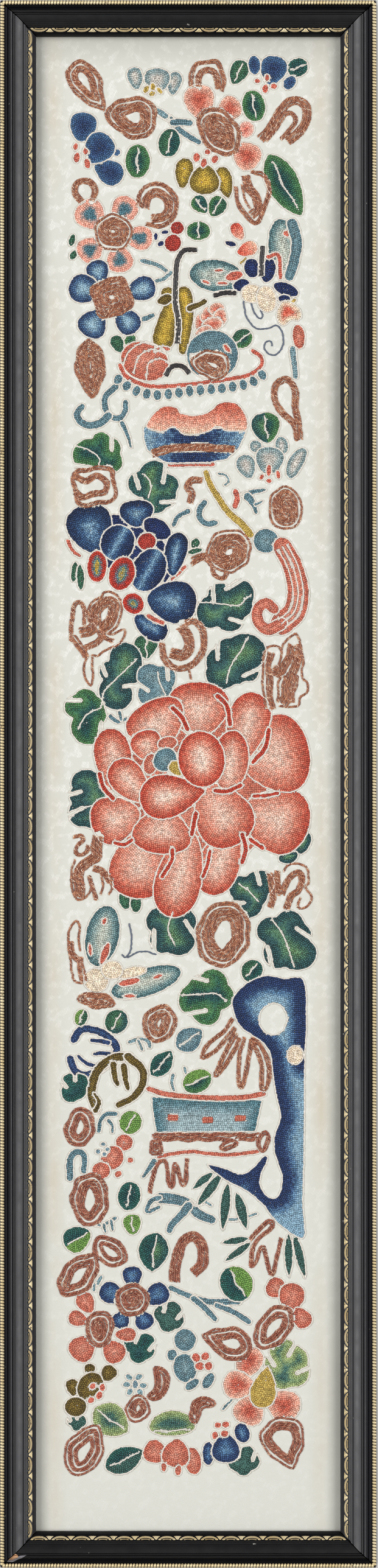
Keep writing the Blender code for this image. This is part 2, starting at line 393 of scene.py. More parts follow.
def local_outline(shape, length, width):
    """A motif's outline about its own middle: its length lies along X, its foot at -X and its tip at +X."""
    angle = np.linspace(0, 2 * math.pi, 72, endpoint=False)
    x = np.cos(angle)
    y = np.sin(angle)
    if shape == "petal":
        y = y * (1 + 0.28 * x)
    elif shape == "drop":
        y = y * np.abs(np.sin(angle / 2)) ** 0.9 * 1.18
    elif shape == "leaf":
        y = y * np.abs(y) ** 0.45 * (1 - 0.15 * x)
    elif shape == "heart":
        y = y * (1 + 0.30 * x)
        notch = np.exp(-(np.minimum(angle, 2 * math.pi - angle) / 0.38) ** 2)
        x = x - 0.42 * notch
    elif shape == "box":
        x = np.sign(x) * np.abs(x) ** 0.4
        y = np.sign(y) * np.abs(y) ** 0.4
    elif shape == "dome":
        y = np.where(y < 0, y * 0.55, y) + 0.22
    elif shape != "oval":
        raise ValueError(f"no shape named {shape}")
    return np.column_stack([x * length / 2, y * width / 2])


def bent(points, length, bend):
    """The same points on a line that turns by the bend, in degrees, over the motif's length."""
    if not bend:
        return points
    reach = length / math.radians(bend)
    angle = points[:, 0] / reach
    rise = reach - points[:, 1]
    return np.column_stack([rise * np.sin(angle), reach - rise * np.cos(angle)])


def axes_of(turn):
    """A motif's own two directions on the cloth, for its turn in radians."""
    return np.array(((math.cos(turn), math.sin(turn)), (-math.sin(turn), math.cos(turn))))


def placed(points, around, px, py, turn):
    """Local points set on the cloth, the middle of the outline's own box at the given pixel."""
    middle = (around.min(axis=0) + around.max(axis=0)) / 2
    return (points - middle) @ axes_of(math.radians(turn)) + spot(px, py)


def motif(shape, px, py, length, width, turn, bend=0):
    """A motif's outline and its middle line, both on the cloth."""
    local = bent(local_outline(shape, length, width), length, bend)
    middle = np.column_stack([np.linspace(-0.5, 0.5, 9) * length, np.zeros(9)])
    middle = bent(middle, length, bend)
    return placed(local, local, px, py, turn), placed(middle, local, px, py, turn)


def lobed(px, py, core, swirl, slots, lobes):
    """A leaf with broad lobes and narrow slots round a core, its lobes bent by the swirl, in degrees."""
    angle = np.linspace(0, 2 * math.pi, 540, endpoint=False)
    reach = np.full(len(angle), float(core))
    for direction, length, width in lobes:
        off = angle - math.radians(direction)
        foot = length / 2
        share = foot * np.sin(off) / (width * LOBE_BREADTH / 2)
        within = (np.abs(share) < 1) & (np.cos(off) > 0)
        tip = foot * np.cos(off) + foot * np.sqrt(np.maximum(1 - share ** 2, 0))
        reach = np.where(within, np.maximum(reach, tip), reach)
    for _ in range(10):
        reach = (np.roll(reach, 1) + 2 * reach + np.roll(reach, -1)) / 4
    turned = angle + math.radians(swirl) * reach / reach.max()
    outline = np.column_stack([reach * np.cos(turned), reach * np.sin(turned)])
    grain, *ways = (math.radians(way) for way in slots)
    mouths = [outline[np.cos(turned - way).argmax()] for way in ways]
    for mouth, way in zip(mouths, ways):
        inward = way + math.pi
        lean = math.remainder(grain - inward, 2 * math.pi)
        heading = inward + max(-MOST_LEAN, min(MOST_LEAN, lean))
        outline = slotted(outline, mouth, heading, float(np.linalg.norm(mouth)) * SLOT_DEPTH)
    return outline + spot(px, py)


def slotted(outline, mouth, heading, depth):
    """The outline with a narrow, round-ended slot cut in from its edge at the mouth."""
    axis = np.array((math.cos(heading), math.sin(heading)))
    across = np.array((-axis[1], axis[0]))
    half = SLOT_WIDTH / 2
    count = len(outline)
    first = int(np.linalg.norm(outline - mouth, axis=1).argmin())
    off = (outline - mouth) @ across
    after = 0
    while abs(off[(first + after) % count]) < half:
        after += 1
    before = 0
    while abs(off[(first - before) % count]) < half:
        before += 1
    kept = outline[np.arange(first + after, first + count - before + 1) % count]
    side = math.copysign(half, off[(first - before) % count])
    angles = np.linspace(0.4, math.pi - 0.4, 5)
    end = [(depth - half + half * math.sin(a), side * math.cos(a)) for a in angles]
    walls = [(0.0, side), (depth - half, side), *end, (depth - half, -side), (0.0, -side)]
    return np.vstack([kept, [mouth + axis * u + across * v for u, v in walls]])


def headings(line, closed=False):
    """The way that a line runs at each of its points, not of unit length."""
    if closed:
        return np.roll(line, -1, axis=0) - np.roll(line, 1, axis=0)
    return np.gradient(line, axis=0)


def sideways(line, closed=False):
    """The unit direction to the left of a line, at each of its points."""
    along = headings(line, closed)
    along /= np.linalg.norm(along, axis=1)[:, None] + 1e-9
    return np.column_stack([-along[:, 1], along[:, 0]])


def ribbon(path, width, end_width=None):
    """The outline of a band of a given width along a smooth path, with round ends."""
    line = line_along(path, RIBBON_STEP)
    side = sideways(line)
    along = np.column_stack([side[:, 1], -side[:, 0]])
    half = np.linspace(width, end_width or width, len(line))[:, None] / 2
    outline = []
    for edge, end, quarter in ((line + side * half, -1, 1), ((line - side * half)[::-1], 0, -1)):
        outline += list(edge)
        for i in range(1, 5):
            angle = quarter * math.pi / 2 - math.pi * i / 5
            round_off = along[end] * math.cos(angle) + side[end] * math.sin(angle)
            outline.append(line[end] + half[end] * round_off)
    return np.array(outline)


def distances(points, line, closed):
    """Each point's distance to a line."""
    starts = line
    ends = np.roll(line, -1, axis=0)
    if not closed:
        starts = line[:-1]
        ends = line[1:]
    span = ends - starts
    square = (span ** 2).sum(axis=1) + 1e-12
    offset = points[:, None] - starts[None]
    share = np.clip((offset * span).sum(axis=2) / square, 0, 1)
    nearest = offset - share[:, :, None] * span
    return np.sqrt((nearest ** 2).sum(axis=2).min(axis=1))


def inside(points, outline):
    """Whether each point lies inside an outline."""
    x0, y0 = outline.T
    x1, y1 = np.roll(outline, -1, axis=0).T
    x = points[:, 0][:, None]
    y = points[:, 1][:, None]
    crosses = (y0 > y) != (y1 > y)
    rise = np.where(y1 == y0, 1e-12, y1 - y0)
    return (crosses & (x < (x1 - x0) * (y - y0) / rise + x0)).sum(axis=1) % 2 == 1


def drawn_in(outline, depth):
    """The outline drawn in by a depth, without the points that come too close to its other side."""
    area = (outline[:, 0] * np.roll(outline[:, 1], -1) - np.roll(outline[:, 0], -1) * outline[:, 1]).sum()
    ring = outline + sideways(outline, True) * math.copysign(1, area) * depth
    keep = (distances(ring, outline, True) > depth - ROW_TOLERANCE) & inside(ring, outline)
    return ring, keep


def runs(ring, keep, longest):
    """The kept stretches of a ring, parted where they are farther apart than the longest step, and whether
    the ring is still whole."""
    if not keep.any():
        return [], False
    points = ring[keep]
    gaps = np.linalg.norm(np.roll(points, -1, axis=0) - points, axis=1) > longest
    if not gaps.any():
        return [points], True
    order = np.roll(np.arange(len(points)), -(int(np.argmax(gaps)) + 1))
    pieces = []
    current = []
    for i in order:
        current.append(points[i])
        if gaps[i]:
            pieces.append(np.array(current))
            current = []
    return [p for p in pieces if len(p) > 2], False


class Field:
    """One embroidered field: its outline, how it is worked, and where its colours run."""

    def __init__(self, outline, kind, shade, cord=True, middle=None, other=None, dark_edge=None, rows=None):
        self.outline = resampled(outline, OUTLINE_STEP, True)
        self.kind = kind
        self.shade = shade
        self.cord = cord
        self.middle = middle
        self.other = other
        self.dark_edge = dark_edge
        self.rows = rows
        self.low = self.outline.min(axis=0)
        self.high = self.outline.max(axis=0)

    def covers(self, points, clearance):
        """Whether each point lies within the field or its clearance."""
        hit = np.zeros(len(points), dtype=bool)
        near = ((points > self.low - clearance) & (points < self.high + clearance)).all(axis=1)
        if near.any():
            found = inside(points[near], self.outline)
            if clearance:
                found |= distances(points[near], self.outline, True) < clearance
            hit[near] = found
        return hit


class Spacing:
    """Places taken by knots, which a new knot keeps its distance from."""

    def __init__(self, pitch):
        self.pitch = pitch
        self.cells = {}

    def take(self, x, y):
        """Whether a place is still free, in which case it is taken."""
        column = math.floor(x / self.pitch)
        row = math.floor(y / self.pitch)
        least = self.pitch ** 2
        for i in (column - 1, column, column + 1):
            for j in (row - 1, row, row + 1):
                for other in self.cells.get((i, j), ()):
                    if (other[0] - x) ** 2 + (other[1] - y) ** 2 < least:
                        return False
        self.cells.setdefault((column, row), []).append((x, y))
        return True


def knot_places(field, pitch):
    """Places of the knots of a field: even rows that follow its outline, then knots in what is left."""
    spacing = Spacing(pitch * CLOSEST_KNOTS)
    places = []
    depth = FIRST_ROW
    while True:
        ring, keep = drawn_in(field.outline, depth)
        if not keep.any():
            break
        pieces, whole = runs(ring, keep, ROW_BREAK)
        for piece in pieces:
            for x, y in resampled(piece, pitch, whole):
                if spacing.take(x, y):
                    places.append((x, y))
        depth += ROW_STEP
    step = pitch / 4
    across = np.arange(field.low[0], field.high[0], step)
    down = np.arange(field.low[1], field.high[1], step)
    left = np.array([(x, y) for x in across for y in down])
    if len(left):
        left = left[inside(left, field.outline)]
    if len(left):
        left = left[distances(left, field.outline, True) > FIRST_ROW * EDGE_ROOM]
    for x, y in left:
        if spacing.take(x, y):
            places.append((x, y))
    return np.array(places).reshape(-1, 2)


def ramp_colours(names, share):
    """Colours at some shares of the way along a row of shades."""
    colours = np.array([hex_colour(name) for name in names])
    place = np.clip(share, 0, 1) * (len(colours) - 1)
    low = np.floor(place).astype(int)
    high = np.minimum(low + 1, len(colours) - 1)
    mix = (place - low)[:, None]
    return colours[low] * (1 - mix) + colours[high] * mix


def field_colours(field, places, chance):
    """A colour for each knot of a field."""
    def shaded(shade):
        mode, *names = SHADES[shade]
        depth = distances(places, field.outline, True) - FIRST_ROW
        share = depth / max(RAMP_DEPTH, depth.max())
        if mode in ("along", "cupped"):
            foot, tip = field.middle[0], field.middle[-1]
            span = tip - foot
            along = (places - foot) @ span / (span @ span)
            share = along if mode == "along" else CUP_DEPTH * share + CUP_FOOT * (1 - along)
        elif mode == "streak":
            off = distances(places, field.middle, False)
            share = 1 - off / max(1.0, off.max())
        elif mode in ("across", "down"):
            axis = 0 if mode == "across" else 1
            share = (places[:, axis] - field.low[axis]) / (field.high[axis] - field.low[axis])
        elif field.dark_edge is not None:
            share = distances(places, field.dark_edge, False) / DARK_EDGE_REACH
        return ramp_colours(names, share + chance.uniform(-SHADE_SPREAD, SHADE_SPREAD, len(places)))

    colours = shaded(field.shade)
    if field.other:
        steps = np.linalg.norm(places[:, None] - field.middle[None], axis=2).argmin(axis=1)
        steps = np.minimum(steps, len(field.middle) - 2)
        along = field.middle[steps + 1] - field.middle[steps]
        offset = places - field.middle[steps]
        left = along[:, 0] * offset[:, 1] - along[:, 1] * offset[:, 0] < 0
        colours[left] = shaded(field.other)[left]
    return np.minimum(PALEST, colours * chance.uniform(*DYE_SPREAD, (len(places), 1)))


# Stems and twigs: their shade, their width at both ends in millimetres, and their path in the photograph
STEMS = (
    # shade, width, end width, path
    ("teal", 2.6, 2.3, ((262, 184), (282, 196), (296, 213), (327, 232))),
    ("teal pale", 2.2, 2.6, ((254, 178), (262, 182), (272, 189))),
    ("teal", 2.8, 2.6, ((284, 200), (298, 199), (312, 200))),
    ("teal pale", 2.0, 1.8, ((233, 427), (256, 433), (270, 441), (281, 453))),
    ("teal pale", 1.8, 1.8, ((256, 461), (270, 456), (281, 446))),
    ("teal", 2.4, 2.0, ((236, 523), (251, 517))),
    ("teal pale", 2.6, 2.2, ((481, 572), (484, 600), (486, 618))),
    ("olive gold", 6.0, 8.6, ((276, 482), (282, 503), (274, 530), (268, 556))),
    ("olive gold", 6.4, 3.8, ((302, 482), (307, 510), (304, 545), (301, 574))),
    ("olive", 2.6, 2.2, ((311, 506), (325, 500), (337, 494))),
    ("teal", 2.7, 2.4, ((190, 634), (174, 649), (172, 666), (180, 682), (195, 686), (205, 675), (206, 660))),
    ("teal", 3.2, 2.6, ((178, 682), (165, 694), (147, 698), (131, 691), (126, 678), (135, 667))),
    ("teal", 2.2, 1.2, ((200, 694), (209, 713), (215, 734))),
    ("yellow", 2.4, 3.2, ((338, 775), (347, 798), (362, 822), (376, 842), (397, 860), (411, 877))),
    ("teal pale", 1.2, 1.1, ((359, 777), (371, 780), (376, 790), (369, 796))),
    ("coral seed", 2.6, 2.4, ((387, 807), (390, 819), (386, 831))),
    ("teal", 2.6, 1.5, ((402, 812), (417, 807), (435, 804))),
    ("teal", 3.4, 1.5, ((407, 815), (417, 828), (421, 842))),
    ("teal", 1.5, 1.2, ((420, 828), (431, 823))),
    ("teal", 2.2, 1.8, ((309, 839), (292, 848), (285, 862))),
    ("teal", 2.6, 2.4, ((336, 825), (328, 836), (329, 851), (341, 860), (354, 858))),
    ("teal", 1.9, 1.6, ((181, 1177), (194, 1186), (208, 1180))),
    ("teal", 1.7, 1.3, ((196, 1170), (199, 1183))),
    ("coral seed", 1.9, 1.5, ((111, 888), (119, 904), (131, 913))),
    ("coral seed", 2.0, 1.6, ((275, 954), (291, 943), (304, 930))),
    ("teal pale", 1.7, 1.7, ((212, 1713), (228, 1708), (243, 1711), (246, 1721))),
    ("teal pale", 1.5, 1.5, ((227, 1710), (233, 1725))),
    ("teal pale", 1.8, 1.2, ((284, 1767), (282, 1780), (286, 1793))),
    ("teal pale", 1.6, 1.0, ((303, 1755), (305, 1764), (312, 1768))),
    ("teal", 2.0, 2.0, ((162, 1859), (165, 1842), (175, 1831), (190, 1831))),
    ("teal", 1.8, 1.4, ((178, 1842), (184, 1850), (184, 1861))),
    ("teal", 2.9, 2.4, ((115, 1936), (115, 1906), (126, 1893), (138, 1900), (137, 1925))),
    ("teal", 2.0, 1.6, ((155, 2011), (170, 2013), (190, 2002))),
    ("teal", 1.6, 1.3, ((170, 2013), (173, 2025))),
    ("teal", 1.6, 1.3, ((182, 2007), (185, 2022))),
    ("teal", 2.6, 1.5, ((253, 1909), (244, 1922), (235, 1934))),
    ("teal", 4.4, 3.4, ((262, 1969), (285, 1971), (310, 1979), (325, 1995), (348, 2005))),
    ("teal", 2.2, 1.6, ((262, 1969), (248, 1974), (241, 1992), (262, 1984))),
    ("teal", 3.4, 2.6, ((310, 1982), (297, 1998), (283, 2012), (278, 2023))),
    ("teal pale", 1.6, 1.2, ((322, 1980), (338, 1976), (347, 1982))),
    ("teal pale", 1.6, 1.2, ((364, 2005), (392, 2004), (422, 1995))),
    ("teal", 2.2, 2.9, ((280, 2117), (310, 2130), (345, 2140), (392, 2139))),
    ("teal", 2.6, 2.4, ((318, 2135), (336, 2150), (353, 2168))),
    ("teal", 2.2, 2.4, ((356, 2146), (384, 2157), (409, 2173))),
    ("teal", 1.2, 1.2, ((366, 2317), (374, 2308), (382, 2300))),
    ("teal pale", 1.9, 1.6, ((160, 2110), (166, 2099))),
    ("teal pale", 1.5, 1.2, ((154, 2121), (155, 2110))),
    ("blue", 3.1, 3.1, ((121, 1709), (133, 1692), (158, 1694), (180, 1706), (192, 1724), (180, 1742),
        (166, 1757), (143, 1767), (123, 1760), (115, 1740))),
    ("blue", 2.2, 1.8, ((178, 1714), (165, 1711), (150, 1710))),
    ("blue", 2.2, 1.6, ((182, 1733), (166, 1731), (155, 1732))),
    ("blue", 1.9, 1.6, ((158, 1752), (142, 1748), (128, 1736))),
    ("olive", 3.6, 3.4, ((158, 1824), (150, 1794), (160, 1760), (184, 1740), (212, 1736))),
    ("olive", 3.4, 2.6, ((210, 1737), (233, 1757), (234, 1782), (218, 1804), (194, 1816))),
    ("olive", 3.0, 2.0, ((186, 1750), (188, 1768), (193, 1782))),
    ("olive", 2.8, 2.0, ((203, 1752), (206, 1774), (210, 1789))),
    ("olive", 2.2, 1.4, ((156, 1826), (163, 1812), (155, 1798))),
)

# Bamboo: narrow leaves from their foot to their tip, in the photograph, and the shares that their length and
# width grow by because a leaf's outline is pointed
BAMBOO_REACH = 1.08
BAMBOO_BREADTH = 1.25
BAMBOO = (
    # width, foot, tip
    (2.4, (349, 1928), (317, 1954)),
    (3.0, (363, 1931), (325, 1981)),
    (3.0, (374, 1947), (366, 2020)),
    (3.2, (389, 1962), (405, 2019)),
    (2.2, (408, 2036), (365, 2043)),
    (2.3, (412, 2043), (370, 2073)),
    (2.6, (474, 2030), (475, 2098)),
    (2.6, (484, 2030), (501, 2100)),
)

# Leaves: the place of their middle, their sizes in millimetres, the turn of their tip from X and the bend
# along them in degrees, then the shade on the left and on the right of the vein
LEAVES = (
    # shape, px, py, length, width, turn, bend, left shade, right shade
    ("petal", 392, 117, 9.8, 7.0, 65, 0, "green leaf", "green leaf"),
    ("oval", 489, 109, 8.0, 7.2, 20, 0, "dark leaf", "dark leaf"),
    ("oval", 417, 172, 12.0, 9.0, 100, 0, "rim leaf", "rim leaf"),
    ("oval", 278, 233, 10.8, 8.4, 78, 0, "green leaf", "dark leaf"),
    ("oval", 226, 263, 12.8, 9.6, 88, 0, "rim leaf", "rim leaf"),
    ("petal", 329, 335, 7.8, 6.0, 130, 0, "rim leaf", "dark leaf"),
    ("petal", 356, 338, 8.4, 6.8, 60, 0, "rim leaf", "green leaf"),
    ("leaf", 467, 303, 26.0, 12.2, -62, 10, "rim leaf", "rim leaf"),
    ("oval", 118, 393, 5.0, 2.8, 75, 0, "green leaf", None),
    ("oval", 121, 417, 4.4, 2.9, 60, 0, "green leaf", None),
    ("oval", 326, 378, 7.4, 9.2, 90, 0, "rim leaf", "rim leaf"),
    ("petal", 193, 564, 7.0, 5.0, 110, 0, "green leaf", None),
    ("petal", 213, 557, 5.2, 4.0, 40, 0, "rim leaf", None),
    ("oval", 398, 555, 8.4, 7.2, 35, 0, "green leaf", "rim leaf"),
    ("petal", 437, 702, 11.6, 10.6, 98, 0, "inner leaf", "rim leaf"),
    ("drop", 240, 1063, 9.6, 10.0, -88, 0, "green leaf", "green leaf"),
    ("oval", 122, 939, 7.8, 2.8, 84, 0, "green leaf", None),
    ("oval", 132, 948, 9.8, 3.0, 92, 0, "green leaf", None),
    ("oval", 321, 892, 4.4, 3.6, 50, 0, "green leaf", None),
    ("oval", 320, 905, 6.2, 2.2, 14, 0, "green leaf", None),
    ("oval", 499, 1385, 9.0, 5.2, 65, 0, "dark rim", None),
    ("oval", 474, 1408, 7.6, 5.2, 14, 0, "dark rim", None),
    ("oval", 205, 1478, 7.6, 4.8, 100, 0, "green leaf", None),
    ("oval", 223, 1485, 6.8, 4.4, 92, 0, "green leaf", None),
    ("oval", 414, 1595, 8.8, 8.0, 50, 30, "green leaf", "dark leaf"),
    ("oval", 133, 1672, 6.6, 5.2, 70, 0, "bright leaf", "green leaf"),
    ("oval", 191, 1679, 9.5, 8.8, 62, 0, "green leaf", "inner leaf"),
    ("leaf", 311, 1708, 11.6, 9.2, 35, 0, "teal", "teal"),
    ("leaf", 266, 1748, 12.0, 7.8, 50, 20, "dark leaf", "dark leaf"),
    ("oval", 324, 1777, 11.6, 8.8, 25, 0, "bright leaf", "rim leaf"),
    ("oval", 214, 1845, 9.2, 8.6, 60, 0, "bright leaf", "bright leaf"),
    ("oval", 212, 1966, 11.0, 8.8, 80, 20, "dark leaf", "dark leaf"),
    ("petal", 217, 2013, 8.0, 6.8, 95, 0, "bright leaf", "bright leaf"),
    ("petal", 127, 2036, 11.0, 9.6, -150, 0, "bright leaf", "dark leaf"),
    ("leaf", 252, 2058, 15.0, 11.4, -98, 20, "inner leaf", "dark leaf"),
    ("oval", 389, 2110, 13.8, 12.2, -60, 20, "bright leaf", "dark leaf"),
    ("leaf", 182, 2335, 15.4, 12.6, -35, 0, "lime rim", "lime rim"),
    ("leaf", 204, 2400, 15.6, 9.8, 25, 10, "dark leaf", "sage"),
    ("dome", 283, 2340, 17.4, 12.4, 2, 0, "lime rim", "lime rim"),
)

# Leaves with slots: their middle, the radius of the core, how far the lobes bend in degrees, the heading that
# the slots share and the direction of each slot's mouth, and each lobe's direction, reach and width
CUT_LEAVES = (
    # px, py, core, shade, swirl, slots, lobes
    (165, 748, 4.5, "rim leaf", 25, (-40, 200, 60), ((152, 10.6, 6.6), (197, 10.8, 5.0), (68, 9.0, 3.6),
        (22, 8.6, 6.6), (-48, 8.8, 6.2))),
    (253, 806, 4.8, "inner leaf", -20, (-100, 137, 65, -25), ((108, 11.5, 6.6), (168, 10.6, 4.6),
        (38, 9.8, 3.8), (-10, 8.8, 6.6), (-70, 8.6, 6.4))),
    (373, 995, 4.8, "dark rim", 25, (190, 60, -45, 125), ((105, 9.4, 5.0), (20, 12.0, 5.6),
        (-18, 9.6, 4.6), (182, 12.0, 6.8), (-95, 9.8, 7.6))),
    (379, 1094, 5.0, "dark rim", -25, (-110, 119, -5), ((118, 10.6, 4.8), (62, 15.0, 8.2), (4, 11.0, 4.6),
        (-35, 7.8, 6.0), (-125, 10.4, 8.6), (172, 9.6, 7.0))),
    (193, 1112, 5.0, "dark rim", 20, (-125, 142, -25), ((50, 13.5, 7.0), (135, 7.6, 4.6), (-12, 8.0, 4.4),
        (-110, 12.4, 7.4))),
    (143, 1170, 4.6, "rim leaf", 20, (50, 150, -70), ((140, 9.0, 5.0), (85, 9.0, 5.0), (-105, 12.2, 6.6),
        (-30, 7.4, 5.4), (30, 7.2, 5.4))),
    (258, 1128, 4.0, "teal", 15, (-60, 65, 175), ((112, 9.6, 5.6), (40, 8.8, 5.0), (-150, 8.4, 5.0),
        (-70, 8.0, 7.0))),
    (147, 1314, 4.2, "dark rim", 25, (25, 167, 215), ((80, 11.6, 7.0), (142, 8.0, 4.6), (218, 11.0, 4.6),
        (-100, 11.0, 5.2), (-62, 8.6, 4.0), (0, 8.0, 8.0))),
    (411, 1468, 4.5, "dark rim", -25, (-50, 207, 75), ((65, 10.4, 6.0), (168, 8.6, 6.0), (-75, 9.4, 5.6),
        (-122, 7.6, 3.6), (0, 6.8, 6.0))),
    (279, 1516, 5.2, "dark rim", 20, (100, 240, -27), ((-128, 12.0, 4.8), (-80, 13.2, 7.0),
        (-12, 10.0, 5.8), (160, 9.0, 7.0), (28, 9.6, 6.4))),
    (464, 1538, 5.0, "dark rim", 25, (110, 252, -5), ((142, 10.0, 6.0), (42, 10.4, 8.0), (-14, 11.0, 5.2),
        (-68, 15.4, 7.0), (-122, 12.4, 5.2))),
    (346, 1633, 4.2, "rim leaf", 25, (5, 136, 221), ((135, 9.0, 6.0), (60, 9.4, 8.5), (178, 12.5, 6.0),
        (-125, 12.0, 6.5), (-30, 8.8, 8.0))),
    (123, 1785, 2.5, "dark leaf", 0, (-90, 90, 160), ((140, 5.6, 5.4), (40, 5.6, 5.4), (-120, 6.6, 5.8),
        (-60, 5.4, 5.0))),
    (277, 2166, 2.8, "sage", 0, (-100, 105, 20), ((150, 6.0, 5.0), (60, 6.4, 5.8), (-20, 6.0, 5.6),
        (-100, 5.6, 6.0))),
    (230, 2217, 2.8, "dark leaf", 0, (-110, 100, 20), ((155, 6.6, 3.4), (45, 6.6, 6.0), (-20, 5.6, 5.6),
        (-105, 5.8, 6.0))),
    (125, 2339, 2.0, "sage", 0, (-90, 85, 140), ((150, 3.8, 3.2), (20, 4.0, 3.6), (-90, 3.2, 4.0))),
    (471, 2245, 5.0, "lime rim", 0, (-120, 68, -5, 150), ((100, 10.0, 9.0), (35, 8.8, 9.0),
        (-40, 9.5, 9.0), (-110, 9.2, 9.4), (170, 8.4, 9.0))),
    (402, 2405, 3.0, "sage", 0, (-110, 45, 110), ((75, 6.4, 5.2), (15, 5.8, 5.2), (-100, 5.0, 6.5),
        (170, 6.4, 6.0))),
)

